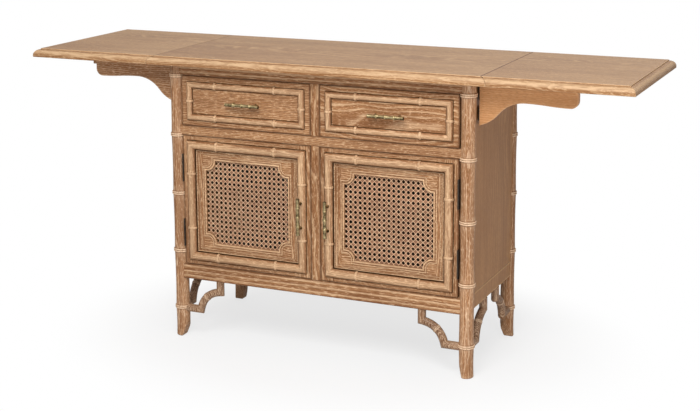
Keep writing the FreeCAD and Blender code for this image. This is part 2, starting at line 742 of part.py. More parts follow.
pin_hole = mm.hinge_pin + 2 * mm.pin_clear
leaf_rows = [-(mm.top_depth / 2 - mm.leaf_hinge_inset), mm.top_depth / 2 - mm.leaf_hinge_inset]
fixed_wings = []
pins = []
leaf_pockets = {}
centre_pockets = []
for word, side in SIDES.items():
    leaf_pockets[word] = []
    moving = []
    for row in leaf_rows:
        fixed_wings.append(leaf_wing(side, row, -mm.leaf_hinge_short_wing, FIXED_KNUCKLE, mm.hinge_pin))
        moving.append(leaf_wing(side, row, mm.leaf_hinge_long_wing, MOVING_KNUCKLES, pin_hole))
        pin = Part.makeCylinder(mm.hinge_pin / 2, mm.leaf_hinge_long,
                                Vector(mm.seam_x, row - mm.leaf_hinge_long / 2, mm.seam_z), Vector(0, 1, 0))
        pins.append(flip(pin, side))
        span = (row - mm.leaf_hinge_long / 2 - mm.running_gap, row + mm.leaf_hinge_long / 2 + mm.running_gap)
        exact = (row - mm.leaf_hinge_long / 2, row + mm.leaf_hinge_long / 2)
        plate_top = mm.case_top + mm.leaf_hinge_plate
        room = mm.leaf_hinge_knuckle / 2 + mm.running_gap
        gain = block((mm.seam_x - mm.leaf_hinge_short_wing, mm.seam_x), exact, (mm.case_top, plate_top))
        groove = block((mm.seam_x - room, mm.seam_x + room), span, (mm.case_top, mm.seam_z + room))
        lifted = plate_top + mm.leaf_hinge_lift
        sweep = block((mm.seam_x, mm.nose_x + mm.seam_gap), span, (mm.case_top, lifted))
        centre_pockets += [flip(pocket, side) for pocket in (gain, groove, sweep)]
        seat = block((mm.seam_x, mm.seam_x + mm.leaf_hinge_long_wing), exact, (mm.case_top, plate_top))
        leaf_pockets[word].append(flip(seat, side))
    node(f"leaf_hinge_wings_{word}", form(f"leaf_wings_{word}", Part.makeCompound(moving)))
node("leaf_hinge_plates", form("leaf_fixed_wings", Part.makeCompound(fixed_wings)))
centre_blank = form("centre_blank", centre_top().cut(centre_pockets))
node("centre_top", carve("centre_board", centre_blank, [screw_group]))
for word, side in SIDES.items():
    node(f"leaf_{word}", form(f"leaf_board_{word}", flip(leaf_board(), side).cut(leaf_pockets[word])))
block_edge = "bracket_inner + bracket_long + block_beyond"
block_front = "bracket_axis_y + bracket_offset"
block_span = mirrored(-1, block_edge, f"{block_edge} + block_long")
block_depth = (block_front, f"{block_front} + block_wide")
block_tall = ("case_top - block_high", "case_top")
node("leaf_block_left", board("block_under_leaf", block_span, block_depth, block_tall))

# Brackets that carry the leaves
bracket_fixed = []
for word, side in SIDES.items():
    heights = [mm.case_top - mm.bracket_hinge_inset, mm.case_top - mm.bracket_deep + mm.bracket_hinge_inset]
    knuckle = mm.bracket_hinge_knuckle
    at_side = mm.side_face - mm.bracket_axis_x
    moving = []
    for height in heights:
        axis = (mm.bracket_axis_x, mm.bracket_axis_y, height)
        fixed = hinge_wing(axis, (at_side, at_side + mm.bracket_hinge_plate), mm.bracket_hinge_wide,
                           mm.bracket_hinge_long, knuckle, FIXED_KNUCKLE, mm.hinge_pin)
        at_bracket = (mm.bracket_offset - mm.bracket_hinge_plate, mm.bracket_offset)
        wing = hinge_wing(axis, at_bracket, -mm.bracket_hinge_wide, mm.bracket_hinge_long, knuckle,
                          MOVING_KNUCKLES, pin_hole)
        bracket_fixed.append(flip(fixed, side))
        moving.append(flip(wing, side))
        pin = Part.makeCylinder(mm.hinge_pin / 2, mm.bracket_hinge_long,
                                Vector(axis[0], axis[1], height - mm.bracket_hinge_long / 2))
        pins.append(flip(pin, side))
    node(f"bracket_{word}", form(f"bracket_board_{word}", flip(bracket_board(), side)))
    node(f"bracket_hinge_wings_{word}", form(f"bracket_wings_{word}", Part.makeCompound(moving)))
node("bracket_hinge_plates", form("bracket_fixed_wings", Part.makeCompound(bracket_fixed)))

# Doors
door_fixed = []
door_width = mm.door_outer - mm.door_inner
door_height = mm.door_top - mm.door_bottom
door_axis = (mm.opening_half - mm.door_gap / 2, mm.rail_face - mm.door_hinge_knuckle / 2 - mm.running_gap)
for word, side in SIDES.items():
    moving = []
    for height in (mm.door_hinge_upper, mm.door_hinge_lower):
        axis = (*door_axis, height)
        post_side = mm.door_gap / 2
        fixed = hinge_wing(axis, (post_side, post_side + mm.door_hinge_plate), mm.door_hinge_wide,
                           mm.door_hinge_long, mm.door_hinge_knuckle, FIXED_KNUCKLE, mm.hinge_pin)
        wing = hinge_wing(axis, (-post_side - mm.door_hinge_plate, -post_side), mm.door_hinge_wide,
                          mm.door_hinge_long, mm.door_hinge_knuckle, MOVING_KNUCKLES, pin_hole)
        door_fixed.append(flip(fixed, side))
        moving.append(flip(wing, side))
        pin = Part.makeCylinder(mm.hinge_pin / 2, mm.door_hinge_long,
                                Vector(axis[0], axis[1], height - mm.door_hinge_long / 2))
        pins.append(flip(pin, side))
    wings = node(f"door_hinge_wings_{word}", form(f"door_wings_{word}", Part.makeCompound(moving)))
    thick = ("rail_face", "door_back")
    tall = ("door_bottom", "door_top")
    meeting_side = mirrored(side, "door_inner", "door_inner + door_frame_wide")
    hinge_side = mirrored(side, "door_outer - door_frame_wide", "door_outer")
    hinge_stile = board(f"door_stile_out_{word}", hinge_side, thick, tall)
    frame_parts = [board(f"door_stile_in_{word}", meeting_side, thick, tall),
                   carve(f"door_stile_cut_{word}", hinge_stile, [wings])]
    rail_span = mirrored(side, "door_inner + door_frame_wide", "door_outer - door_frame_wide")
    for place, span in (("low", ("door_bottom", "door_bottom + door_frame_wide")),
                        ("high", ("door_top - door_frame_wide", "door_top"))):
        frame_parts.append(board(f"door_rail_{place}_{word}", rail_span, thick, span))
    node(f"door_frame_{word}", group(f"door_frame_parts_{word}", frame_parts))
    panel_depth = ("panel_front", "panel_front + door_panel_thick")
    field = board(f"door_field_{word}", rail_span, panel_depth,
                  ("door_bottom + door_frame_wide", "door_top - door_frame_wide"))
    window = prism(cane_outline(0), (0, mm.door_panel_thick, 0))
    window.translate(Vector(side * mm.door_middle, mm.panel_front, mm.door_level))
    rebate_span = mirrored(side, "door_middle - cane_half_wide - cane_clear",
                           "door_middle + cane_half_wide + cane_clear")
    rebate_tall = ("door_level - cane_half_high - cane_clear", "door_level + cane_half_high + cane_clear")
    rebate = board(f"cane_rebate_{word}", rebate_span, ("cane_front", panel_depth[1]), rebate_tall)
    cuts = [form(f"door_window_{word}", window), rebate]
    node(f"door_panel_{word}", carve(f"door_panel_cut_{word}", field, cuts))
    net = cane_net()
    net.translate(Vector(side * mm.door_middle, mm.cane_front, mm.door_level))
    node(f"door_cane_{word}", form(f"cane_{word}", net))
    node(f"door_moulding_{word}", bead_frame(
        f"door_bead_{word}", door_width - 2 * mm.door_margin, door_height - 2 * mm.door_margin,
        mm.door_bead_wide, mm.door_bead_high, mm.door_node_inset,
        (side * mm.door_middle, mm.rail_face, mm.door_level)))
    pull = pull_bar(True)
    pull.translate(Vector(side * (mm.door_inner + mm.door_pull_inset), mm.rail_face - mm.door_bead_high,
                          mm.door_pull_height))
    node(f"door_pull_{word}", form(f"door_pull_bar_{word}", pull))
door_hinge_plates = node("door_hinge_plates", form("door_fixed_wings", Part.makeCompound(door_fixed)))
node("hinge_pins", form("pin_set", Part.makeCompound(pins)))

# Drawers
drawer_width = mm.drawer_outer - mm.drawer_inner
drawer_height = mm.drawer_opening_high - 2 * mm.drawer_gap
drawer_centre_x = (mm.drawer_outer + mm.drawer_inner) / 2
drawer_centre_z = (mm.drawer_low + mm.drawer_high) / 2
for word, side in SIDES.items():
    front_tall = ("drawer_low + drawer_gap", "drawer_high - drawer_gap")
    node(f"drawer_front_{word}", board(f"drawer_face_{word}", mirrored(side, "drawer_inner", "drawer_outer"),
                                       ("rail_face", "drawer_box_front"), front_tall))
    box_tall = ("drawer_box_low", "drawer_box_low + drawer_side_high")
    box_long = ("drawer_box_front", "drawer_box_back")
    inner = mirrored(side, "drawer_box_inner + drawer_wall", "drawer_box_outer - drawer_wall")
    box_parts = [
        board(f"drawer_side_in_{word}", mirrored(side, "drawer_box_inner", "drawer_box_inner + drawer_wall"),
              box_long, box_tall),
        board(f"drawer_side_out_{word}", mirrored(side, "drawer_box_outer - drawer_wall", "drawer_box_outer"),
              box_long, box_tall),
        board(f"drawer_back_{word}", inner, ("drawer_box_back - drawer_wall", "drawer_box_back"), box_tall),
        board(f"drawer_bottom_{word}", inner, ("drawer_box_front", "drawer_box_back - drawer_wall"),
              ("drawer_box_low + drawer_floor_rise", "drawer_box_low + drawer_floor_rise + drawer_floor"))]
    node(f"drawer_box_{word}", group(f"drawer_walls_{word}", box_parts))
    node(f"drawer_moulding_{word}", bead_frame(
        f"drawer_bead_{word}", drawer_width - 2 * mm.drawer_margin, drawer_height - 2 * mm.drawer_margin,
        mm.drawer_bead_wide, mm.drawer_bead_high, mm.drawer_node_inset,
        (side * drawer_centre_x, mm.rail_face, drawer_centre_z)))
    pull = pull_bar(False)
    pull.translate(Vector(side * drawer_centre_x, mm.rail_face, drawer_centre_z))
    node(f"drawer_pull_{word}", form(f"drawer_pull_bar_{word}", pull))

# Braces below the case
front_braces = []
side_braces = []
front_line = (mm.rail_face + mm.rail_back) / 2
side_line = (mm.side_face + mm.side_inner) / 2
for word, side in SIDES.items():
    shape = brace(mm.bottom_rail_low)
    shape.translate(Vector(mm.opening_half, front_line, 0))
    front_braces.append(form(f"front_brace_{word}", flip(shape, side)))
    for place, turn, edge in (("front", -90, mm.front_post_y + mm.post_radius),
                              ("back", 90, mm.back_post_y - mm.post_radius)):
        shape = brace(mm.side_rail_low)
        shape.rotate(Vector(0, 0, 0), Vector(0, 0, 1), turn)
        shape.translate(Vector(side_line, edge, 0))
        side_braces.append(form(f"side_brace_{word}_{place}", flip(shape, side)))
node("front_braces", group("front_brace_pair", front_braces))
node("side_braces", group("side_brace_set", side_braces))

# Posts, mortised for everything that enters them
doc.recompute()
for word, side in SIDES.items():
    for place, back in (("front", False), ("back", True)):
        blank = form(f"post_blank_{place}_{word}", post_blank(side, back))
        tools = side_rails[word] + [side_boards[word]] + side_braces
        if back:
            tools += [*back_rails, back_panel]
        else:
            tools += [top_rail, middle_rail, bottom_rail, *front_braces, door_hinge_plates]
            # the rings are pared off where the door and the drawer shut against the post
            for shut in ("door", "drawer"):
                tools.append(board(f"{shut}_room_{word}",
                                   mirrored(side, "opening_half - post_room", "opening_half - running_gap"),
                                   ("front_post_y - post_radius", "front_post_y + post_radius"),
                                   (f"{shut}_low", f"{shut}_high")))
        node(f"post_{place}_{word}", carve(f"post_{place}_{word}_cut", blank, tools))

doc.recompute()
faulty = [item.Name for item in doc.Objects if "Invalid" in item.State or "Error" in item.State]
if faulty:
    raise RuntimeError(f"failed objects: {faulty}")
for piece in nodes:
    if piece.Shape.isNull() or not piece.Shape.isValid() or not piece.Shape.Solids:
        raise RuntimeError(f"bad shape: {piece.Label}")
os.makedirs("parts", exist_ok=True)
for piece in nodes:
    piece.Shape.exportStep(os.path.join("parts", f"{piece.Label}.step"))
print(len(nodes), "nodes,", sum(len(piece.Shape.Solids) for piece in nodes), "solids")
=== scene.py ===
"""Bar cabinet with two drop leaves, two drawers and two cane doors: looks laid over the part's frame."""
import math

import bmesh
import bpy
import numpy as np
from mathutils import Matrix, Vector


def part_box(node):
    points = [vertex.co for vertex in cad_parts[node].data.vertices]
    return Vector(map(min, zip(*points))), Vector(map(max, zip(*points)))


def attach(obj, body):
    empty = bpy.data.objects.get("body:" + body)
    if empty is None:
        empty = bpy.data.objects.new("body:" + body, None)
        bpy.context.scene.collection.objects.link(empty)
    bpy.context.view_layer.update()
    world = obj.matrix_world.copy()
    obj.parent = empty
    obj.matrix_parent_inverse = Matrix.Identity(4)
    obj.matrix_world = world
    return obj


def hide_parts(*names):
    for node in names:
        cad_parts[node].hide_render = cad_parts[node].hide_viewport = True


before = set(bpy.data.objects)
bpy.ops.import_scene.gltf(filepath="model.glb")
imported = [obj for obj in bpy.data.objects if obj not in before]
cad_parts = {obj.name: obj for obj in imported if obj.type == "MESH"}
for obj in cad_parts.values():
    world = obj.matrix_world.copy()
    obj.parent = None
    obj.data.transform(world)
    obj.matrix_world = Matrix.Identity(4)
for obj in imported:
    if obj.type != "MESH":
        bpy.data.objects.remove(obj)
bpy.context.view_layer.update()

MM = 0.001
SIDES = {"left": -1, "right": 1}
SHARP_ANGLE = math.radians(40)
UP = np.array([0.0, 0.0, 1.0])
# A direction that no rod lies along
ASKEW = np.array([0.3, 0.7, 0.2])

# Wear on a point: above 0 the lime shows there, below 0 the dark glaze does; some wears below also stand for
# painted highlights and painted shade
# Glaze on the boards' arrises, which also paints the shade in the gaps between boards, drawers and doors
GLAZE_AND_GAP_SHADE = -0.65
# Lime on the side rails' arrises, which also paints the highlight along their top edge
RAIL_LIME_AND_HIGHLIGHT = 1.2
BRACKET_RUBBED = 0.3
RING_RUBBED = 2.2
RING_GLAZED = -0.8
BESIDE_RING_RUBBED = 0.6
BESIDE_RING_GLAZED = -1.3
NODE_RUBBED = 1.1
NODE_GLAZED = -0.9
# Lime with a painted highlight along the crest of a bead
CREST_LIME_AND_HIGHLIGHT = 0.7
COLLAR_RUBBED = 2.0
# At the feet of a bead: glaze and painted shade, with the painted shade leaning to the inner foot
QUIRK_GLAZE_AND_SHADE = -0.75
QUIRK_SHADE_LEAN = 0.35
KNOT_RUBBED = 1.2
# On the top's moulded edge: painted shade under the board, lime with a painted highlight on the ovolo, and
# glaze with painted shade in the step
UNDER_TOP_PAINTED_SHADE = -1.2
TOP_SIDE_GLAZED = -0.3
OVOLO_LIME_AND_HIGHLIGHT = 1.2
OVOLO_GLAZE_AND_SHADE = -2.2
STEP_GLAZE_AND_SHADE = -1.8
TOP_ARRIS_RUBBED = 1.6
# Glaze and painted shade along the centre top's arris at each leaf's seam
SEAM_GLAZE_AND_SHADE = 2 * GLAZE_AND_GAP_SHADE
WINDOW_BEAD_RUBBED = 1.8
WINDOW_BEAD_GLAZED = -0.8
# Painted light on the pulls' bars and legs: lighter above and in front, darker underneath
PULL_PAINTED_LIGHT = 1.3
PULL_LEG_PAINTED_LIGHT = 1.0
PULL_LEG_DULL = -0.6
# From one strand of cane to the next
STRAND_TONE_STEP = 0.37

# Sizes in metres
SOFT_EDGE = 1.6 * MM
FINE_EDGE = 0.8 * MM

POST_RADIUS = 22.5 * MM
POST_WAIST = 1.2 * MM
RING_FIRST = 97.0 * MM
RING_PITCH = 188.0 * MM
RING_HIGH = 12.0 * MM
RING_PROUD = 3.0 * MM
FOOT_HIGH = 52.0 * MM
FOOT_TIP = 29.0 * MM
FOOT_ROUND = 4.0 * MM

EDGE_ROUND = 18.5 * MM
EDGE_STEP = 3.0 * MM
SEAM_GAP = 1.0 * MM
PLATE_SHOW = 0.05 * MM

SIDE_RAIL_THICK = 20.0 * MM
SIDE_PANEL_THICK = 12.0 * MM

NODE_WIDE = 8.0 * MM
NODE_PROUD = 2.0 * MM
DOOR_BEAD = (27.0 * MM, 12.0 * MM)
DRAWER_BEAD = (20.0 * MM, 9.0 * MM)
DOOR_NODE_INSET = 105.0 * MM
DRAWER_NODE_INSET = 100.0 * MM
DOOR_FRAME_WIDE = 42.0 * MM

# Along a moulding, in half widths of a node: its collar, the line of glaze and the sections across them
COLLAR_REACH = 3.2
COLLAR_RUN = 1.9
GLAZE_LINE = 1.25
GLAZE_LINE_WIDE = 0.2
HALF_BAND = np.array([-COLLAR_REACH, -2.6, -2, -1.6, -1.25, -1.001, -1, -0.97, -0.85, -0.6, 0])
NODE_BAND = np.concatenate([HALF_BAND, -HALF_BAND[-2::-1]])
# As shares of a node's swell and of a bead's width
COLLAR_PROUD = 0.3
QUIRK_WIDE = 0.08

WINDOW = (284.0 * MM, 266.0 * MM)
WINDOW_NOTCH = 33.0 * MM
WINDOW_STEP = 8.0 * MM
# Distance out from the window, and radius
WINDOW_BEADS = ((3.4 * MM, 3.2 * MM), (11.0 * MM, 2.2 * MM))
# Distance in from the panel's edge, width and height
PANEL_BEADS = ((1.0 * MM, 5.0 * MM, 2.2 * MM), (11.0 * MM, 3.2 * MM, 1.2 * MM))

CANE_BORDER = 8.0 * MM
CANE_MARGIN = 0.5 * MM
CANE_PITCH = 15.5 * MM
STRAND_WIDE = 2.6 * MM
STRAND_THICK = 0.8 * MM
STRAND_APART = 3.1 * MM
DIAGONAL_WIDE = 1.6 * MM
STRAND_WAVE = 0.35 * MM
UPRIGHT_DEPTH = 0.45 * MM
DIAGONAL_DEPTHS = (-0.55 * MM, -0.75 * MM)

PULL_LONG = 114.0 * MM
PULL_RADIUS = 5.75 * MM
PULL_WAIST = 0.8 * MM
PULL_NODE_PITCH = 28.5 * MM
PULL_NODE_WIDE = 5.0 * MM
PULL_NODE_PROUD = 1.2 * MM
PULL_END_ROUND = 1.2 * MM
PULL_LEG_RADIUS = 4.0 * MM
PULL_LEG_SPACING = 76.0 * MM
PULL_STAND = 20.0 * MM

BRACE_RADIUS = 12.5 * MM
BRACE_REACH = 117.0 * MM
BRACE_DROP = 37.0 * MM
BRACE_FOOT = 93.0 * MM
BRACE_ELBOW = 45.0 * MM
BRACE_BOW = 17.0 * MM
BRACE_KNOT = 4.0 * MM
TENON = 10.0 * MM

BRACKET_TIP = 62.0 * MM
BRACKET_TIP_ROUND = 22.0 * MM
BRACKET_WAIST = (136.0 * MM, 56.0 * MM)
BRACKET_HEEL = (-24.0 * MM, 132.0 * MM)


def span(node):
    """A node's lowest and highest corners as arrays."""
    low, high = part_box(node)
    return np.array(low), np.array(high)


def finish_node(name, material):
    """A node that is shown as it is gets its material."""
    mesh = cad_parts[name].data
    mesh.materials.clear()
    mesh.materials.append(material)


class Shell:
    """Closed skins gathered into one mesh, with a wear mask on every point, which in places also holds
    painted light and shade.
    """

    def __init__(self):
        self.points = []
        self.wear = []
        self.faces = []
        self.finish = []
        self.count = 0

    def skin(self, rings, wear, finish=0, loop=False):
        """Quads between successive closed rings (rings, points, xyz), capped at the ends or joined up."""
        rows, around = rings.shape[:2]
        index = self.count + np.arange(rows * around).reshape(rows, around)
        beside = np.roll(index, -1, axis=1)
        if loop:
            index = np.vstack([index, index[:1]])
            beside = np.vstack([beside, beside[:1]])
        quads = np.stack([index[:-1], beside[:-1], beside[1:], index[1:]], axis=-1)
        quads = quads.reshape(-1, 4).tolist()
        if not loop:
            quads += [index[0, ::-1].tolist(), index[-1].tolist()]
        self.faces += quads
        self.finish += [finish] * len(quads)
        self.points.append(rings.reshape(-1, 3))
        self.wear.append(np.broadcast_to(wear, (rows, around)).reshape(-1))
        self.count += rows * around

    def piece(self, name, body, nodes, slot, *materials):
        """The finished object: doubles merged, faces outwards, sharp edges kept, riding on its body."""
        mesh = bpy.data.meshes.new(name)
        mesh.from_pydata(np.concatenate(self.points), [], self.faces)
        wear = mesh.attributes.new("wear", "FLOAT", "POINT")
        wear.data.foreach_set("value", np.concatenate(self.wear).astype(np.float32))
        for material in materials:
            mesh.materials.append(material)
        mesh.polygons.foreach_set("material_index", np.array(self.finish, dtype=np.int32))
        work = bmesh.new()
        work.from_mesh(mesh)
        bmesh.ops.remove_doubles(work, verts=work.verts, dist=1e-6)
        bmesh.ops.recalc_face_normals(work, faces=work.faces)
        work.to_mesh(mesh)
        work.free()
        mesh.shade_smooth()
        mesh.set_sharp_from_angle(angle=SHARP_ANGLE)
        thing = bpy.data.objects.new(name, mesh)
        bpy.context.collection.objects.link(thing)
        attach(thing, body)
        if nodes:
            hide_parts(*nodes)


# Boards
def rounded_rings(half, radius, guard):
    """Rounded rectangles, one per row: quarter arcs about the inner corners, and guard points on the flats.

    The guard points lie just past the arcs, so the smooth shading of an edge doesn't spread over the flats.
    """
    quarter = np.linspace(0, np.pi / 2, 5)
    corner = np.array([[1, 1], [-1, 1], [-1, -1], [1, -1]], float)
    turn = np.arange(4)[:, None] * np.pi / 2 + quarter
    arc = np.stack([np.cos(turn), np.sin(turn)], axis=-1)
    tangent = np.stack([-np.sin(turn), np.cos(turn)], axis=-1)
    arc = np.concatenate([arc[:, :1], arc, arc[:, -1:]], axis=1)
    shift = np.zeros_like(arc)
    shift[:, 0] = -tangent[:, 0]
    shift[:, -1] = tangent[:, -1]
    soft = np.ones(arc.shape[:2])
    soft[:, [0, -1]] = 0
    inner = corner[None] * (half[:, None] - radius[:, None, None])
    ring = inner[:, :, None] + radius[:, None, None, None] * arc[None]
    ring = ring + guard[:, None, None, None] * shift[None]
    return ring.reshape(len(half), -1, 2), soft.reshape(-1)


def softened_ends(edge, low, high):
    """Inset, place and softness of the rings along a board: a quarter arc at each end, with guard rings."""
    quarter = np.linspace(0, np.pi / 2, 4)
    inset = np.concatenate([[2.5 * edge], edge * (1 - np.sin(quarter)), [0]])
    reach = np.concatenate([[0], edge * (1 - np.cos(quarter)), [3 * edge]])
    soft = np.concatenate([[0], np.ones(4), [0]])
    place = np.concatenate([low + reach, high - reach[::-1]])
    return np.concatenate([inset, inset[::-1]]), place, np.concatenate([soft, soft[::-1]])


def rounded_board(shell, low, high, along, edge, finish, rub, ends=True, outer=None):
    """A board with softened edges: a rounded rectangle carried along one axis, drawn in at its ends.

    rub is the wear written on the arrises. With outer, an axis and a sign, only the long arrises on that
    side have it, and ends says whether the end arrises do.
    """
    low, high = np.asarray(low, float), np.asarray(high, float)
    across = [axis for axis in range(3) if axis != along]
    half = (high - low)[across] / 2
    middle = (high + low)[across] / 2
    insets, place, end_soft = softened_ends(edge, low[along], high[along])
    radius = np.maximum(edge - insets, 0.2 * edge)
    guard = np.minimum(2.5 * edge, 0.5 * (half.min() - insets - radius))
    rings, soft = rounded_rings(half[None] - insets[:, None], radius, np.maximum(guard, 0.1 * edge))
    points = np.empty((len(insets), rings.shape[1], 3))
    points[..., across] = rings + middle
    points[..., along] = place[:, None]
    if outer is not None:
        soft = soft * (outer[1] * rings[..., across.index(outer[0])] > 0)
    shell.skin(points, rub * np.maximum(soft, end_soft[:, None] * ends), finish)


def boards(node, body, boxes, along, material, edge=SOFT_EDGE, ends=False, rub=GLAZE_AND_GAP_SHADE):
    """One piece made of several rounded boards, glazed or rubbed along their arrises; the glaze also paints
    the shade of the gaps between parts.
    """
    shell = Shell()
    for low, high in boxes:
        rounded_board(shell, low, high, along, edge, 0, rub, ends)
    shell.piece(f"soft_{node}", body, [node], "limed_oak", material)


def both_sides(node, thick):
    """The right and left boxes of a node, each of the given thickness from its outer face."""
    low, high = span(node)
    right = (np.array([high[0] - thick, low[1], low[2]]), high)
    left = (np.array([-high[0], low[1], low[2]]), np.array([thick - high[0], high[1], high[2]]))
    return [right, left]


# Turned rods
def half_round(share):
    """Height of a half-round bead at a share, 0 to 1, of its width: the root of 1 - (2 share - 1)^2."""
    return np.sqrt(np.maximum(1 - (2 * share - 1) ** 2, 0))


def bamboo_profile(low, high, rings, radius, waist, ring_high, proud):
    """Places, radii and wear along a rod: two half-round beads at each ring, a shallow waist between rings.

    The waist is a parabola. Beside a ring, a film of glaze and a wider band of lime fade by exp(-distance).
    """
    bead = 0.5 * (1 - np.cos(np.linspace(0, np.pi, 9)))
    run = 0.5 * (1 - np.cos(np.linspace(0, np.pi, 15)))
    places, radii, wear = [], [], []
    at = low
    for ring in list(rings) + [None]:
        until = high if ring is None else ring - ring_high / 2
        places.append(at + run * (until - at))
        radii.append(radius - 4 * waist * run * (1 - run))
        fade = np.minimum(run, 1 - run) * (until - at) / (1.5 * ring_high)
        wear.append(BESIDE_RING_RUBBED * np.exp(-3 * fade) + BESIDE_RING_GLAZED * np.exp(-16 * fade))
        if ring is not None:
            for start in (until, ring):
                places.append(start + bead * ring_high / 2)
                radii.append(radius + proud * half_round(bead))
                wear.append(RING_RUBBED * half_round(bead) + RING_GLAZED)
            at = ring + ring_high / 2
    return np.concatenate(places), np.concatenate(radii), np.concatenate(wear)


def turned(shell, base, axis, places, radii, wear, around, painted_light_above):
    """A solid of revolution: a ring of each radius at each place along an axis from a base point.

    Its light term times a spoke's rise, less a part of its depth and a constant, is added to the wear:
    painted light, lighter above and in front, darker below.
    """
    axis = np.asarray(axis, float)
    side = np.cross(axis, ASKEW)
    side /= np.linalg.norm(side)
    other = np.cross(axis, side)
    turn = np.linspace(0, 2 * np.pi, around, endpoint=False)
    spoke = np.cos(turn)[:, None] * side + np.sin(turn)[:, None] * other
    rings = np.asarray(base) + places[:, None, None] * axis + radii[:, None, None] * spoke
    wear = np.broadcast_to(np.asarray(wear, float), len(places))[:, None]
    # Painted light: the upper, front side lighter and the underside darker
    shell.skin(rings, wear + painted_light_above * (spoke[:, 2] - 0.2 * spoke[:, 1] - 0.4))


def rounded_ends(places, radii, wear, edge):
    """The profile with a quarter-round arris at both ends."""
    turn = np.linspace(0, np.pi / 2, 5)
    draw = edge * (1 - np.sin(turn))
    step = edge * (1 - np.cos(turn))
    places = np.concatenate([places[0] + step, places[1:-1], places[-1] - step[::-1]])
    radii = np.concatenate([radii[0] - draw, radii[1:-1], radii[-1] - draw[::-1]])
    wear = np.concatenate([np.full(5, wear[0]), wear[1:-1], np.full(5, wear[-1])])
    return places, radii, wear


def corner_post(name, place, material, flat=None):
    """A post: the ringed rod, whose foot is pressed to two leaning planes on the sides that face the case.

    Between the heights of flat, where door and drawer shut on it, its rings are pared on the inner side.
    """
    inward = -np.sign(place)
    height = span(name)[1][2]
    rings = np.arange(RING_FIRST, height - RING_HIGH, RING_PITCH)
    places, radii, wear = bamboo_profile(0, height, rings, POST_RADIUS, POST_WAIST, RING_HIGH, RING_PROUD)
    tip = FOOT_ROUND * (1 - np.cos(np.linspace(0, np.pi / 2, 5)[1:]))
    extra = np.concatenate([tip, np.linspace(0.15, 0.98, 6) * FOOT_HIGH, [FOOT_HIGH + 0.5 * MM]])
    order = np.argsort(np.concatenate([places, extra]), kind="stable")
    radii = np.concatenate([radii, np.interp(extra, places, radii)])[order]
    wear = np.concatenate([wear, np.interp(extra, places, wear)])[order]
    places = np.concatenate([places, extra])[order]
    keep = np.concatenate([[True], np.diff(places) > 1e-7])
    places, radii, wear = places[keep], radii[keep], wear[keep]
    turn = np.linspace(0, 2 * np.pi, 64, endpoint=False)
    u = radii[:, None] * np.cos(turn)
    v = radii[:, None] * np.sin(turn)
    limit = FOOT_TIP - POST_RADIUS + (2 * POST_RADIUS - FOOT_TIP) * np.minimum(places / FOOT_HIGH, 1)
    limit = np.where(places < FOOT_HIGH, limit, np.inf)[:, None]
    draw = np.clip(1 - places / FOOT_ROUND, 0, 1)
    draw = (FOOT_ROUND * (1 - np.sqrt(1 - draw ** 2)))[:, None]
    shrink = 1 - draw / POST_RADIUS
    u = np.minimum(u * shrink, limit - draw)
    v = np.minimum(v * shrink, limit - draw)
    if flat is not None:
        pared = ((places > flat[0]) & (places < flat[1]))[:, None]
        u = np.where(pared, np.minimum(u, POST_RADIUS), u)
    rows = np.stack([place[0] + inward[0] * u, place[1] + inward[1] * v,
                     np.broadcast_to(places[:, None], u.shape)], axis=-1)
    shell = Shell()
    shell.skin(rows, wear[:, None])
    shell.piece(f"turned_{name}", "case", [name], "limed_oak", material)


# Bent rods
def chord_arc(start, end, bow, normal, count):
    """Points of a shallow arc between two points, bowed sideways by a parabola."""
    t = np.linspace(0, 1, count)[:, None]
    chord = end - start
    outward = np.cross(normal, chord)
    outward /= np.linalg.norm(outward)
    return start + t * chord + 4 * bow * t * (1 - t) * outward


def corner_brace(shell, foot, inward, rail_low):
    """A bent rod from a rail's underside to a post's side, in the plane of UP and inward, with a knot.

    Each ring lies in the plane that halves the route's turn, widened by 1 / cos of half the turn: a mitre.
    """
    foot = np.array([foot[0], foot[1], 0.0])
    inward = np.asarray(inward, float)
    normal = np.cross(UP, inward)

    def at(along, height):
        """The point at a distance along inward and a height above the floor."""
        return foot + along * inward + height * UP

    bend = at(BRACE_REACH, rail_low - BRACE_DROP)
    bowed = chord_arc(bend, at(BRACE_ELBOW, BRACE_FOOT), BRACE_BOW, normal, 17)
    route = np.concatenate([[at(BRACE_REACH, rail_low)], bowed, [at(-TENON, BRACE_FOOT)]])
    length = np.concatenate([[0], np.cumsum(np.linalg.norm(np.diff(route, axis=0), axis=1))])
    knot = length[1 + len(bowed) // 2]
    beads = knot + np.linspace(-1, 1, 17) * BRACE_KNOT
    fine = np.unique(np.round(np.concatenate([length, beads]), 7))
    route = np.stack([np.interp(fine, length, route[:, axis]) for axis in range(3)], axis=-1)
    step = np.diff(route, axis=0)
    step /= np.linalg.norm(step, axis=1)[:, None]
    after = np.concatenate([step, step[-1:]])
    bisector = np.concatenate([step[:1], step]) + after
    bisector /= np.linalg.norm(bisector, axis=1)[:, None]
    side = np.cross(bisector, normal) / np.sum(bisector * after, axis=1)[:, None]
    offset = np.abs(fine - knot) / BRACE_KNOT
    swell = np.where(offset < 1, half_round(offset % 1), 0)
    radius = BRACE_RADIUS + 0.5 * NODE_PROUD * swell
    turn = np.linspace(0, 2 * np.pi, 32, endpoint=False)
    spoke = np.cos(turn)[None, :, None] * side[:, None] + np.sin(turn)[None, :, None] * normal
    shell.skin(route[:, None] + radius[:, None, None] * spoke, KNOT_RUBBED * swell[:, None])


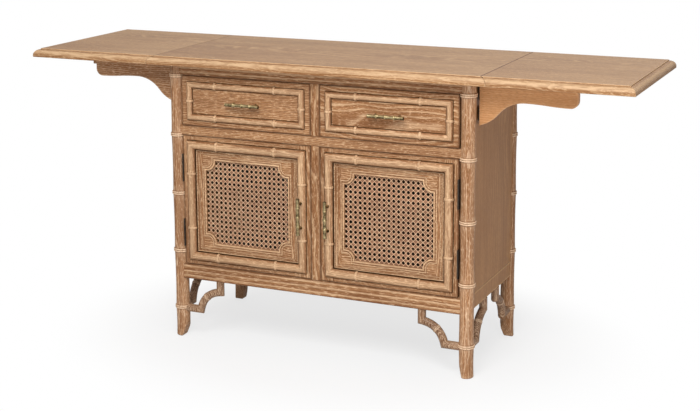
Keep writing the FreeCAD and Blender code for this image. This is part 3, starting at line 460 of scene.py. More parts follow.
# Mitred half rounds
def bead_frame(shell, centre, size, bead, inset=0, finish=(0, 1)):
    """Four mitred half rounds round a rectangle in XZ, standing out towards -Y.

    Across a side, v runs over the bead's width and its height follows an ellipse. Along it, a point lies at
    t length, held between v and length - v, which gives the mitres. Nodes, set in from the ends, swell the
    section by sqrt(1 - u^4) over a narrow band, u running from -1 to 1 across it, with a low collar beside
    it that falls as a square. A narrow film of glaze and painted shade, the quirk, lies along both feet of
    the bead, thinner on the outer one, where less shade is painted. Lime with a painted highlight lies on
    the crest.
    """
    wide, high = bead
    quirk = QUIRK_WIDE * wide
    angle = np.linspace(0, np.pi, 13)
    rise = np.pad(np.sin(angle), 1)[None]
    # Glaze and painted shade at both feet of the bead, darker at the inner foot
    foot = np.pad(QUIRK_GLAZE_AND_SHADE + QUIRK_SHADE_LEAN * np.cos(angle), 1, mode="edge")[None] * (1 - rise) ** 2
    for quarter in range(4):
        upright = quarter % 2
        length, other = (size[1], size[0]) if upright else (size[0], size[1])
        from_middle = 0.5 - inset / length
        nodes = (0.5 - from_middle, 0.5 + from_middle) if from_middle > 0.05 else (0.5,)
        if inset == 0:
            nodes = ()
        bands = [share + NODE_BAND * NODE_WIDE / 2 / length for share in nodes]
        t = np.unique(np.concatenate([[0.0, 1.0], *bands]))
        swell = np.zeros_like(t)
        collar = np.zeros_like(t)
        beside = np.zeros_like(t)
        for share in nodes:
            offset = np.abs(t - share) * length / (NODE_WIDE / 2)
            swell += np.sqrt(np.maximum(1 - offset ** 4, 0))
            fall = np.clip((COLLAR_REACH - offset) / COLLAR_RUN, 0, 1) ** 2
            collar += COLLAR_PROUD * fall * (offset > 1)
            beside += np.exp(-((offset - GLAZE_LINE) / GLAZE_LINE_WIDE) ** 2)
        grow = (NODE_PROUD * (swell + collar))[:, None]
        v = wide / 2 - np.cos(angle)[None] * (wide / 2 + grow)
        height = np.sin(angle)[None] * (high + grow)
        v = np.concatenate([v[:, :1] - quirk, v, v[:, -1:] + quirk], axis=1)
        height = np.maximum(np.pad(height, ((0, 0), (1, 1))), PLATE_SHOW)
        inside = np.clip(v, -quirk, wide + quirk)
        along = np.clip(t[:, None] * length, inside, length - inside) - length / 2
        up = v - other / 2
        turn = quarter * math.pi / 2
        x = along * math.cos(turn) + up * math.sin(turn)
        z = up * math.cos(turn) - along * math.sin(turn)
        points = np.stack([centre[0] + x, centre[1] - height, centre[2] + z], axis=-1)
        # Lime with a painted highlight along the crest, with more on the collars
        crest = (CREST_LIME_AND_HIGHLIGHT + COLLAR_RUBBED * collar[:, None]) * rise ** 3
        crest = crest + foot + NODE_GLAZED * beside[:, None]
        wear = np.where(swell[:, None] > 0.3, NODE_RUBBED * rise ** 0.5, crest)
        shell.skin(points, wear, finish[upright])


def mitred_moulding(kind, word, ground, bead, node_inset, *materials):
    """The moulding on a drawer's or door's front: half rounds round its own box, less the nodes' swell."""
    node = f"{kind}_moulding_{word}"
    low, high = span(node)
    ground_low, ground_high = span(ground)
    centre = (ground_low + ground_high) / 2
    centre[1] = ground_low[1]
    shell = Shell()
    bead_frame(shell, centre, (high - low)[[0, 2]] - 2 * NODE_PROUD, bead, node_inset)
    shell.piece(f"mitred_{node}", f"{word}_{kind}", [node], "limed_oak", *materials)


# The top
def moulded_levels(low, high):
    """Inset, height and wear of each level of the moulded edge: arris, side, ovolo, fillet step, top arris.

    The ovolo is a quarter circle, limed on its crown with a painted highlight; painted shade lies under the
    board, and glaze with painted shade lies in the step.
    """
    nose = high - EDGE_STEP - EDGE_ROUND
    turn = np.linspace(0, np.pi / 2, 11)
    soft = np.linspace(0, np.pi / 2, 4)
    inset = np.concatenate([[4 * SOFT_EDGE], SOFT_EDGE * (1 - np.sin(soft)), [0],
                            EDGE_ROUND * (1 - np.cos(turn)), [EDGE_ROUND],
                            EDGE_ROUND + FINE_EDGE * (1 - np.cos(soft)), [EDGE_ROUND + 4 * FINE_EDGE]])
    level = np.concatenate([[low], low + SOFT_EDGE * (1 - np.cos(soft)), [low + 2 * SOFT_EDGE],
                            nose + EDGE_ROUND * np.sin(turn), [high - EDGE_STEP + FINE_EDGE / 2],
                            high - FINE_EDGE + FINE_EDGE * np.sin(soft), [high]])
    # Lime with a painted highlight on the ovolo's crown; glaze and painted shade where it meets the step
    ovolo = OVOLO_LIME_AND_HIGHLIGHT * np.sin(2 * turn) ** 2 + OVOLO_GLAZE_AND_SHADE * np.sin(turn) ** 16
    wear = np.concatenate([[0], np.full(4, UNDER_TOP_PAINTED_SHADE), [TOP_SIDE_GLAZED], ovolo,
                           [STEP_GLAZE_AND_SHADE], np.full(4, TOP_ARRIS_RUBBED), [0]])
    return inset, level, wear


def moulded_board(shell, low, high, hollow=None):
    """A top board: rectangles stacked up, drawn in by the edge's profile, with a cove at a leaf's seam.

    The cove is the rule joint's circle, x^2 + z^2 = (EDGE_ROUND + SEAM_GAP)^2 about the seam.
    """
    inset, level, wear = moulded_levels(low[2] + PLATE_SHOW, high[2])
    left = low[0] + inset
    right = high[0] - inset
    if hollow is not None:
        side, seam_x, seam_z = hollow
        rise = np.clip(level - seam_z, 0, EDGE_ROUND + SEAM_GAP)
        cove = np.sqrt(np.maximum((EDGE_ROUND + SEAM_GAP) ** 2 - rise ** 2, SEAM_GAP ** 2))
        if side > 0:
            left = seam_x + cove
        else:
            right = -seam_x - cove
    half = np.stack([(right - left) / 2, (high[1] - low[1]) / 2 - inset], axis=-1)
    middle = np.stack([(left + right) / 2, np.full_like(left, (low[1] + high[1]) / 2)], axis=-1)
    radius = np.full(len(inset), FINE_EDGE)
    rings, soft = rounded_rings(half, radius, 3 * radius)
    rings = rings + middle[:, None]
    heights = np.broadcast_to(level[:, None, None], rings.shape[:2] + (1,))
    points = np.concatenate([rings, heights], axis=-1)
    wear = np.maximum(wear[:, None], 0.5 * soft[None])
    # Glaze, and the painted shade of the gap, on the centre top's arris at each seam
    if hollow is None:
        at_seam = np.abs(points[..., 0] - middle[:, :1]) > half[:, :1] - FINE_EDGE
        at_seam[-1] = False
        wear = np.where(at_seam & (level[:, None] > high[2] - EDGE_STEP), SEAM_GLAZE_AND_SHADE, wear)
    shell.skin(points, wear)


# Brackets
def three_point_arc(start, middle, end, count):
    """Points of the arc through three points, about the centre that is as far from each of them."""
    (ax, ay), (bx, by), (cx, cy) = start, middle, end
    a, b, c = ax ** 2 + ay ** 2, bx ** 2 + by ** 2, cx ** 2 + cy ** 2
    d = 2 * (ax * (by - cy) + bx * (cy - ay) + cx * (ay - by))
    ux = (a * (by - cy) + b * (cy - ay) + c * (ay - by)) / d
    uy = (a * (cx - bx) + b * (ax - cx) + c * (bx - ax)) / d
    radius = math.hypot(ax - ux, ay - uy)
    first = math.atan2(ay - uy, ax - ux)
    sweep = math.atan2(cy - uy, cx - ux) - first
    via = math.atan2(by - uy, bx - ux) - first
    if (via % (2 * math.pi)) > (sweep % (2 * math.pi)):
        sweep = -((-sweep) % (2 * math.pi))
    else:
        sweep = sweep % (2 * math.pi)
    turn = first + sweep * np.linspace(0, 1, count)
    return np.stack([ux + radius * np.cos(turn), uy + radius * np.sin(turn)], axis=-1)


def ogee(start, end, count):
    """Two equal arcs that leave one point level, turn over half way and reach another point level.

    Their radius is (run^2 + fall^2) / (2 fall), for half the way across and half the way down.
    """
    start, end = np.array(start), np.array(end)
    run, fall = (end - start) / 2
    radius = (run ** 2 + fall ** 2) / (2 * fall)
    turn = 2 * math.atan2(fall, abs(run)) * np.linspace(0, 1, count // 2 + 1)
    ahead = math.copysign(1, run) * radius * np.sin(turn)
    first = np.stack([ahead, radius * (1 - np.cos(turn))], axis=-1)
    return np.concatenate([start + first, (end - first)[::-1][1:]])


def drawn_in(outline, inset):
    """A closed outline moved inwards along its corners' bisectors, by inset / cos of half the turn there."""
    before = np.roll(outline, 1, axis=0)
    after = np.roll(outline, -1, axis=0)
    first = (outline - before) / np.linalg.norm(outline - before, axis=1)[:, None]
    second = (after - outline) / np.linalg.norm(after - outline, axis=1)[:, None]
    normal = np.stack([-(first + second)[:, 1], (first + second)[:, 0]], axis=-1)
    normal /= np.linalg.norm(normal, axis=1)[:, None]
    own = np.stack([-first[:, 1], first[:, 0]], axis=-1)
    reach = 1 / np.maximum(np.sum(normal * own, axis=1), 0.5)
    area = np.sum(outline[:, 0] * after[:, 1] - after[:, 0] * outline[:, 1])
    return outline + math.copysign(1, area) * inset * reach[:, None] * normal


def bracket_board(shell, low, high, side):
    """The swing bracket: straight on top, round at its tip, an ogee below that the hinge end cuts off.

    Its outline is carried through the thickness and drawn in by a quarter arc at both faces.
    """
    long = high[0] - low[0]
    tip, turn = BRACKET_TIP, BRACKET_TIP_ROUND
    bend = turn * (1 - math.sqrt(0.5))
    heel = ogee(BRACKET_WAIST, BRACKET_HEEL, 25)[1:]
    outline = np.concatenate([
        [(0, 0), (SOFT_EDGE * 3, 0), (long - SOFT_EDGE * 3, 0), (long, 0)],
        three_point_arc((long, tip - turn), (long - bend, tip - bend), (long - turn, tip), 9),
        ogee((long - turn, tip), BRACKET_WAIST, 13)[1:],
        heel[heel[:, 0] > MM],
        [(0, np.interp(0, heel[::-1, 0], heel[::-1, 1]))]])
    insets, depth, soft = softened_ends(SOFT_EDGE, low[1], high[1])
    rows = []
    for draw, y in zip(insets, depth):
        flat = drawn_in(outline, draw)
        x = low[0] + flat[:, 0] if side > 0 else high[0] - flat[:, 0]
        rows.append(np.stack([x, np.full(len(flat), y), high[2] - flat[:, 1]], axis=-1))
    shell.skin(np.array(rows), BRACKET_RUBBED * soft[:, None])


# Doors
def door_frame(word, *materials):
    """Two stiles with two rails between them, all rounded boards, glazed along the outer arrises, which also
    paints the shade of the gap round the door.
    """
    node = f"door_frame_{word}"
    low, high = span(node)
    wide = np.array([DOOR_FRAME_WIDE, 0, DOOR_FRAME_WIDE])
    inner_low, inner_high = low + wide, high - wide
    shell = Shell()
    for sign, start, stop in ((-1, low[0], inner_low[0]), (1, inner_high[0], high[0])):
        rounded_board(shell, (start, low[1], low[2]), (stop, high[1], high[2]),
                      2, SOFT_EDGE, 1, GLAZE_AND_GAP_SHADE, True, (0, sign))
    for sign, start, stop in ((-1, low[2], inner_low[2]), (1, inner_high[2], high[2])):
        rounded_board(shell, (inner_low[0], low[1], start), (inner_high[0], high[1], stop),
                      0, SOFT_EDGE, 0, GLAZE_AND_GAP_SHADE, False, (2, sign))
    shell.piece(f"soft_{node}", f"{word}_door", [node], "limed_oak", *materials)


def window_outline(out):
    """The window's outline, set out by a distance: straight runs, and a step and a scoop at each corner."""
    half = np.array(WINDOW) / 2
    scoop = math.hypot(WINDOW_NOTCH, WINDOW_STEP) * math.sqrt(0.5)
    bite = three_point_arc((WINDOW_NOTCH, WINDOW_STEP), (scoop, scoop), (WINDOW_STEP, WINDOW_NOTCH), 11)
    bite = np.concatenate([[(WINDOW_NOTCH, 0)], bite, [(0, WINDOW_NOTCH)]])
    points = []
    for sign_x, sign_z, turned_over in ((1, 1, False), (1, -1, True), (-1, -1, False), (-1, 1, True)):
        corner = (half - bite) * (sign_x, sign_z)
        points.append(corner[::-1] if turned_over else corner)
    return drawn_in(np.concatenate(points), -out)


def window_bead(shell, centre, out, radius):
    """A fine round bead, half sunk, carried round the window: limed in front and glazed at its feet."""
    path = window_outline(out)
    inner = (drawn_in(path, MM) - path) / MM
    turn = np.linspace(0, 2 * np.pi, 10, endpoint=False)
    flat = path[:, None] + radius * np.cos(turn)[None, :, None] * inner[:, None]
    y = np.broadcast_to(centre[1] - radius * np.sin(turn), flat.shape[:2])
    points = np.stack([centre[0] + flat[..., 0], y, centre[2] + flat[..., 1]], axis=-1)
    wear = WINDOW_BEAD_RUBBED * np.sin(turn) + WINDOW_BEAD_GLAZED
    shell.skin(points, wear[None], loop=True)


def carved_beads(word, material):
    """Two fine beads round the door's window and two mitred ones round the edge of its panel."""
    frame_low, frame_high = span(f"door_frame_{word}")
    low, high = span(f"door_panel_{word}")
    face = (frame_low + frame_high) / 2
    face[1] = low[1]
    shell = Shell()
    for out, radius in WINDOW_BEADS:
        window_bead(shell, face, out, radius)
    for inset, wide, proud in PANEL_BEADS:
        bead_frame(shell, face, (high - low)[[0, 2]] - 2 * inset, (wide, proud), 0, (0, 0))
    shell.piece(f"carved_beads_{word}", f"{word}_door", [], "limed_oak", material)


def strands(shell, centre, half, offsets, direction, wide, depth, wave, finish):
    """Flat strands in one direction, each a flat oval carried along a line that waves over and under.

    A strand with offset d is the line of points p with p . normal = d, cut off at the panel's rectangle.
    Its wave is a cosine of two pitches, turned over on every other strand.
    """
    direction = np.array(direction, float) / np.linalg.norm(direction)
    normal = np.array([-direction[1], direction[0]])
    turn = np.linspace(0, 2 * np.pi, 6, endpoint=False)
    for number, offset in enumerate(offsets):
        base = offset * normal
        with np.errstate(divide="ignore", invalid="ignore"):
            lows = (-half - base) / direction
            highs = (half - base) / direction
        near = np.where(np.abs(direction) < 1e-9, -np.inf, np.minimum(lows, highs)).max()
        far = np.where(np.abs(direction) < 1e-9, np.inf, np.maximum(lows, highs)).min()
        if far - near < CANE_PITCH:
            continue
        count = max(int((far - near) / CANE_PITCH * 4), 4)
        s = np.linspace(near, far, count)
        line = base + s[:, None] * direction
        y = centre[1] + depth + wave * np.cos(2 * np.pi * s / (2 * CANE_PITCH) + math.pi * (number % 2))
        flat = line[:, None] + wide / 2 * np.cos(turn)[None, :, None] * normal
        thick = y[:, None] - STRAND_THICK / 2 * np.sin(turn)[None]
        points = np.stack([centre[0] + flat[..., 0], thick, centre[2] + flat[..., 1]], axis=-1)
        shell.skin(points, (number * STRAND_TONE_STEP) % 1, finish)


def cane_panel(name, body, pairs, diagonals):
    """The woven cane: pairs up and down, pairs across, and single strands on both diagonals."""
    low, high = span(name)
    centre = (low + high) / 2
    half = (high - low)[[0, 2]] / 2 - CANE_MARGIN
    columns = int((WINDOW[0] - CANE_BORDER) // CANE_PITCH)
    rows = int((WINDOW[1] - CANE_BORDER) // CANE_PITCH) + 1
    two = np.array([-0.5, 0.5]) * STRAND_APART
    shell = Shell()
    upright = ((np.arange(columns + 1) - columns / 2) * CANE_PITCH)[:, None] + two
    level = ((np.arange(rows + 1) - rows / 2) * CANE_PITCH)[:, None] + two
    strands(shell, centre, half, upright.ravel(), (0, 1), STRAND_WIDE, UPRIGHT_DEPTH, STRAND_WAVE, 0)
    strands(shell, centre, half, level.ravel(), (1, 0), STRAND_WIDE, 0.0, STRAND_WAVE, 0)
    diagonal = CANE_PITCH / math.sqrt(2)
    start = (((columns + rows) / 2 + 0.5) % 1) * diagonal
    reach = np.arange(-40, 41) * diagonal + start
    for slope, depth in zip((1, -1), DIAGONAL_DEPTHS):
        strands(shell, centre, half, reach, (1, slope), DIAGONAL_WIDE, depth, STRAND_WAVE / 2, 1)
    shell.piece(f"woven_{name}", body, [name], "cane", pairs, diagonals)


def pull(name, body, material):
    """A bamboo-like bar on two legs, each turned to a waist that flares by exp(-out) at its foot."""
    low, high = span(name)
    size = high - low
    axis = UP if size[2] > size[0] else np.array([1.0, 0.0, 0.0])
    middle = (low + high) / 2
    middle[1] = high[1] - PULL_STAND
    shell = Shell()
    nodes = [step * PULL_NODE_PITCH for step in (-1, 0, 1)]
    profile = bamboo_profile(-PULL_LONG / 2, PULL_LONG / 2, nodes,
                             PULL_RADIUS, PULL_WAIST, PULL_NODE_WIDE, PULL_NODE_PROUD)
    profile = rounded_ends(*profile, PULL_END_ROUND)
    turned(shell, middle, axis, *profile, around=28, painted_light_above=PULL_PAINTED_LIGHT)
    out = np.linspace(0, 1, 12)
    flare = PULL_LEG_RADIUS * (0.8 + 0.55 * np.exp(-7 * out) + 0.25 * out ** 4)
    for end in (-1, 1):
        foot = middle + end * PULL_LEG_SPACING / 2 * axis + np.array([0, PULL_STAND, 0])
        turned(shell, foot, (0, -1, 0), out * PULL_STAND, flare, PULL_LEG_DULL,
               around=20, painted_light_above=PULL_LEG_PAINTED_LIGHT)
    shell.piece(f"bamboo_{name}", body, [name], "antique_brass", material)


# Materials
# Marks of the grain to the metre: along it, and across it both ways
SWAY = (2.4, 7.0, 7.0)
RIPPLE = (5.0, 60.0, 60.0)
PORES = (28.0, 1100.0, 1100.0)
STREAKS = (4.0, 260.0, 260.0)
CLOUDS = (3.0, 16.0, 16.0)
RUBBED_PATCHES = (40.0, 300.0, 300.0)
FLECKS = 80.0
LONG_FLECKS = 45.0
FLECKS_ACROSS = 420.0
RIPPLE_HIGH = 4.0 * MM


class Wiring:
    """Short hand for one node tree: a call adds a node, sets or joins its inputs, and gives an output."""

    def __init__(self, tree):
        self.tree = tree

    def add(self, kind, inputs=None, output=0, **settings):
        """A node of a kind, with its settings and inputs."""
        node = self.tree.nodes.new(kind)
        for key, value in settings.items():
            setattr(node, key, value)
        for key, value in (inputs or {}).items():
            self.join(value, node.inputs[key])
        return node.outputs[output]

    def join(self, value, socket):
        """A link where the value is an output, and else a plain value."""
        if isinstance(value, bpy.types.NodeSocket):
            self.tree.links.new(value, socket)
        else:
            socket.default_value = value

    def math(self, operation, first, second=0.0, clamp=False):
        """One operation on two values, held between 0 and 1 if it is clamped."""
        return self.add("ShaderNodeMath", {0: first, 1: second}, operation=operation, use_clamp=clamp)

    def stretch(self, vector, scale):
        """The vector times a scale, axis by axis."""
        return self.add("ShaderNodeVectorMath", {0: vector, 1: scale}, operation="MULTIPLY")

    def noise(self, vector, scale, detail=2.0, rough=0.5):
        """Cloudy noise about a half."""
        return self.add("ShaderNodeTexNoise",
                        {"Vector": vector, "Scale": scale, "Detail": detail, "Roughness": rough})

    def mix(self, factor, first, second):
        """first at a factor of 0, second at 1."""
        return self.add("ShaderNodeMix", {0: factor, 6: first, 7: second}, output=2, data_type="RGBA")

    def total(self, *parts):
        """The sum of two (value, share) parts, each its value times its share."""
        first, second = [self.math("MULTIPLY", value, share) for value, share in parts]
        return self.math("ADD", first, second)

    def range(self, value, low, high, to_low=0.0, to_high=1.0):
        """A smooth step from to_low at low to to_high at high."""
        return self.add("ShaderNodeMapRange", {0: value, 1: low, 2: high, 3: to_low, 4: to_high},
                        interpolation_type="SMOOTHSTEP")

    def here(self):
        """The place on the object."""
        return self.add("ShaderNodeTexCoord", output="Object")

    def wear(self):
        """The wear written on the piece's points."""
        return self.add("ShaderNodeAttribute", output="Fac", attribute_name="wear")

    def length(self, vector):
        """The length of a vector."""
        return self.add("ShaderNodeVectorMath", {0: vector}, output="Value", operation="LENGTH")

    def dent(self, height, strength, deep, shader):
        """A height pressed into a shader's normal."""
        bump = self.add("ShaderNodeBump", {"Height": height, "Strength": strength, "Distance": deep})
        self.join(bump, shader.inputs["Normal"])


def new_group(name, inputs, outputs):
    """An empty node group with named sockets, given as (name, kind, default)."""
    tree = bpy.data.node_groups.new(name, "ShaderNodeTree")
    for label, kind, default in inputs:
        socket = tree.interface.new_socket(label, in_out="INPUT", socket_type=f"NodeSocket{kind}")
        if default is not None:
            socket.default_value = default
    for label, kind in outputs:
        tree.interface.new_socket(label, in_out="OUTPUT", socket_type=f"NodeSocket{kind}")
    return tree, tree.nodes.new("NodeGroupInput").outputs, tree.nodes.new("NodeGroupOutput").inputs


def limed_grain_group():
    """Open-pored wood with lime rubbed into it, its grain along the vector's X.

    Growth rings are circles about the X axis, pushed about by slow noise so that they open into arches. The
    early wood of each ring holds long fine pores. Lime sits in the pores, in pale flecks and on rubbed
    edges. The late wood and the dark flecks are nearer the heart's tone, and where wear is below 0 the
    glaze lies over it all.
    """
    tree, given, result = new_group(
        "limed grain",
        [("Vector", "Vector", None), ("Heart", "Color", (0.3, 0.15, 0.07, 1)),
         ("Body", "Color", (0.45, 0.25, 0.13, 1)), ("Lime", "Color", (0.7, 0.5, 0.36, 1)),
         ("Glaze", "Color", (0.095, 0.036, 0.013, 1)), ("Ring Width", "Float", 0.006),
         ("Wander", "Float", 0.03), ("Wear", "Float", 0.0), ("Lime Amount", "Float", 1.0),
         ("Flecks", "Float", FLECKS)],
        [("Color", "Color"), ("Roughness", "Float"), ("Height", "Float")])
    w = Wiring(tree)
    vector = given["Vector"]
    slow = w.noise(w.stretch(vector, SWAY), 1.0, 2.0, 0.45)
    sway = w.math("MULTIPLY", w.math("SUBTRACT", slow, 0.5), given["Wander"])
    fine = w.noise(w.stretch(vector, RIPPLE), 1.0, 3.0, 0.6)
    ripple = w.math("MULTIPLY", w.math("SUBTRACT", fine, 0.5), RIPPLE_HIGH)
    from_pith = w.length(w.stretch(vector, (0.0, 1.0, 1.0)))
    ring = w.math("ADD", w.math("ADD", from_pith, sway), ripple)
    phase = w.math("FRACT", w.math("DIVIDE", ring, given["Ring Width"]))
    early = w.math("MULTIPLY", w.range(phase, 0.0, 0.12), w.range(phase, 0.5, 0.2))
    late = w.range(phase, 0.62, 0.97)
    pores = w.noise(w.stretch(vector, PORES), 1.0, 2.0, 0.55)
    pore = w.range(pores, 0.50, 0.66)
    streaks = w.noise(w.stretch(vector, STREAKS), 1.0, 3.0, 0.6)
    streak = w.range(streaks, 0.42, 0.72)
    short = w.add("ShaderNodeCombineXYZ", {0: given["Flecks"], 1: FLECKS_ACROSS, 2: FLECKS_ACROSS})
    flecks = w.noise(w.stretch(vector, short), 1.0, 2.0, 0.5)
    pale_fleck = w.range(flecks, 0.55, 0.70)
    dark_fleck = w.range(flecks, 0.46, 0.32)
    open_wood = w.math("ADD", w.math("MULTIPLY", early, 0.75), 0.25)
    in_pores = w.math("MULTIPLY", w.total((pore, 0.55), (streak, 0.35)), open_wood)
    cloud = w.noise(w.stretch(vector, CLOUDS), 1.0, 3.0, 0.55)
    patchy = w.range(w.noise(w.stretch(vector, RUBBED_PATCHES), 1.0, 2.0), 0.25, 0.7, 0.45, 1.0)
    # Where the wear holds painted light, this rubbed lime is a painted highlight and the glaze below it is
    # painted shade
    worn = w.math("MULTIPLY", w.math("MAXIMUM", given["Wear"], 0.0), patchy)
    glaze = w.math("MULTIPLY", given["Wear"], -0.75, clamp=True)
    in_rings = w.total((early, 0.3), (pale_fleck, 0.7))
    rub = w.math("MULTIPLY", w.math("ADD", in_pores, in_rings), given["Lime Amount"])
    rubbed_in = w.math("MULTIPLY", rub, w.range(cloud, 0.2, 0.75, 0.6, 1.15))
    lime = w.math("ADD", rubbed_in, w.math("MULTIPLY", worn, 0.75), clamp=True)
    tone = w.total((w.range(cloud, 0.25, 0.75), 0.6), (streak, 0.4))
    shade = w.total((late, 0.28), (dark_fleck, 0.75))
    tone = w.math("SUBTRACT", tone, shade, clamp=True)
    wood = w.mix(tone, given["Heart"], given["Body"])
    limed = w.mix(lime, wood, given["Lime"])
    w.join(w.mix(glaze, limed, given["Glaze"]), result["Color"])
    w.join(w.math("ADD", w.math("MULTIPLY", lime, 0.18), 0.42), result["Roughness"])
    w.join(w.math("SUBTRACT", w.math("MULTIPLY", cloud, 0.3), in_pores), result["Height"])
    return tree


def dulling_group():
    """A blotchy mask, 0 to 1, for tarnish and dust, with a finer break-up at its edges."""
    tree, given, result = new_group(
        "dulling", [("Vector", "Vector", None), ("Scale", "Float", 60.0), ("Amount", "Float", 0.5)],
        [("Mask", "Float"), ("Speck", "Float")])
    w = Wiring(tree)
    broad = w.noise(given["Vector"], given["Scale"], 4.0, 0.6)
    speck = w.noise(given["Vector"], w.math("MULTIPLY", given["Scale"], 9.0), 3.0, 0.6)
    both = w.total((broad, 0.75), (speck, 0.25))
    w.join(w.math("MULTIPLY", w.range(both, 0.35, 0.65), given["Amount"], clamp=True), result["Mask"])
    w.join(speck, result["Speck"])
    return tree


LIMED_GRAIN = limed_grain_group()
DULLING = dulling_group()
AXIS_TURN = {"x": (0, 0, 0), "y": (0, 0, -math.pi / 2), "z": (0, math.pi / 2, 0)}
UPRIGHT_PITH = (0.1, 0.25, 0)


def new_material(name, **constants):
    """A material with a Principled shader whose plain values are set on its own sockets."""
    material = bpy.data.materials.new(name)
    material.use_nodes = True
    shader = material.node_tree.nodes["Principled BSDF"]
    for label, value in constants.items():
        shader.inputs[label.replace("_", " ")].default_value = value
    return material, Wiring(material.node_tree), shader


def placed(w, grain, pith):
    """Object coordinates turned so that the grain runs along X, about a pith line through a point."""
    moved = w.add("ShaderNodeVectorMath", {0: w.here(), 1: pith}, operation="SUBTRACT")
    return w.add("ShaderNodeMapping", {"Vector": moved, "Rotation": AXIS_TURN[grain]}, vector_type="POINT")


def grain_outputs(w, grain, pith, tones, ring, wander, amount, flecks=FLECKS):
    """The limed grain's outputs, with its grain along one axis and the piece's own wear."""
    group = w.tree.nodes.new("ShaderNodeGroup")
    group.node_tree = LIMED_GRAIN
    values = {"Vector": placed(w, grain, pith), "Ring Width": ring, "Wander": wander, "Lime Amount": amount,
              "Flecks": flecks, "Wear": w.wear()}
    for label, tone in zip(("Heart", "Body", "Lime"), tones):
        values[label] = (*tone, 1)
    for label, value in values.items():
        w.join(value, group.inputs[label])
    return group.outputs


def limed_oak(name, grain, pith, tones, ring, wander, amount=1.0, frame_at=None, flecks=FLECKS):
    """Limed oak with its grain along one axis, about a pith line, its flecks as many to the metre as said.

    ring is the growth rings' width and wander how far they sway, in metres; amount is the lime rubbed in.
    With frame_at, the middle and half width of a window, the grain runs up beside the window instead: where
    ||x| - middle| is more than half, a second grain along Z takes over.
    """
    material, w, shader = new_material(name, Specular_IOR_Level=0.2, Coat_Roughness=0.3, Coat_Weight=0.05)
    looks = grain_outputs(w, grain, pith, tones, ring, wander, amount, flecks)
    color, rough, height = looks["Color"], looks["Roughness"], looks["Height"]
    if frame_at:
        beside = grain_outputs(w, "z", UPRIGHT_PITH, tones, ring, wander, amount)
        x = w.add("ShaderNodeSeparateXYZ", {0: w.here()})
        away = w.math("ABSOLUTE", w.math("SUBTRACT", w.math("ABSOLUTE", x), frame_at[0]))
        mask = w.range(away, frame_at[1], frame_at[1] + 0.5 * MM)
        color = w.mix(mask, color, beside["Color"])
        height = w.total((height, w.math("SUBTRACT", 1.0, mask)), (beside["Height"], mask))
    w.join(color, shader.inputs["Base Color"])
    w.join(rough, shader.inputs["Roughness"])
    w.dent(height, 0.35, 0.4 * MM, shader)
    return material


def woven_cane(name, shade, straw, painted_sheen):
    """Split cane: each strand its own tone between shade and straw, with long fibres streaked by a paler
    painted sheen.
    """
    material, w, shader = new_material(name, Specular_IOR_Level=0.45)
    here = w.here()
    tone = w.wear()
    fibres = w.noise(here, 420.0, 4.0, 0.65)
    patch = w.noise(here, 22.0, 3.0, 0.5)
    mixed = w.total((tone, 0.45), (patch, 0.55))
    split = w.mix(w.range(mixed, 0.2, 0.8), (*shade, 1), (*straw, 1))
    # Painted sheen: a paler tone streaked along the fibres
    w.join(w.mix(w.range(fibres, 0.35, 0.75, 0.0, 0.5), split, (*painted_sheen, 1)), shader.inputs["Base Color"])
    w.join(w.range(fibres, 0.3, 0.7, 0.38, 0.6), shader.inputs["Roughness"])
    w.dent(fibres, 0.25, 0.3 * MM, shader)
    return material


def metal(name, bright, dull, rough, scale, amount, metallic):
    """A rubbed metal whose hollows and flats have dulled in blotches. It is brighter where the wear is above
    0, which on the pulls is also painted light.
    """
    material, w, shader = new_material(name, Metallic=metallic)
    group = w.tree.nodes.new("ShaderNodeGroup")
    group.node_tree = DULLING
    w.join(w.here(), group.inputs["Vector"])
    group.inputs["Scale"].default_value = scale
    group.inputs["Amount"].default_value = amount
    # The wear brightens the metal: rubbed brass, and on the pulls also their painted highlight and shade
    rubbed = w.math("MULTIPLY", w.wear(), 0.45)
    dark = w.math("SUBTRACT", group.outputs["Mask"], rubbed, clamp=True)
    w.join(w.mix(dark, (*bright, 1), (*dull, 1)), shader.inputs["Base Color"])
    w.join(w.range(group.outputs["Mask"], 0.0, 1.0, rough, rough + 0.25), shader.inputs["Roughness"])
    w.dent(group.outputs["Speck"], 0.15, 0.2 * MM, shader)
    return material


# Tones of heart, body and lime
OAK = ((0.19, 0.074, 0.025), (0.415, 0.193, 0.075), (0.66, 0.435, 0.256))
TOP_OAK = ((0.23, 0.101, 0.036), (0.395, 0.197, 0.078), (0.59, 0.385, 0.22))
SIDE_OAK = ((0.29, 0.126, 0.041), (0.41, 0.196, 0.072), (0.54, 0.325, 0.155))
POST_OAK = ((0.22, 0.090, 0.031), (0.45, 0.215, 0.088), (0.74, 0.52, 0.345))
BRACE_OAK = ((0.12, 0.052, 0.022), (0.28, 0.138, 0.064), (0.60, 0.42, 0.28))
# Paler than the left bracket's wood: painted light on the right bracket, where the leaf shades it
RIGHT_BRACKET_PAINTED_LIGHT_OAK = ((0.44, 0.20, 0.076), (0.65, 0.325, 0.135), (0.74, 0.49, 0.29))
# Painted shade: near-black tones for the wood inside the case and on the shelves, standing for the dark
# within
SHELF_OAK_PAINTED_SHADE = ((0.018, 0.009, 0.005), (0.030, 0.015, 0.008), (0.05, 0.03, 0.018))
INNER_OAK_PAINTED_SHADE = ((0.040, 0.018, 0.010), (0.065, 0.031, 0.016), (0.11, 0.062, 0.036))

drawer_low, drawer_high = span("drawer_front_right")
drawer_level = (drawer_low[2] + drawer_high[2]) / 2
door_low, door_high = span("door_frame_right")
door_middle = (door_low + door_high) / 2
top_low, top_high = span("centre_top")

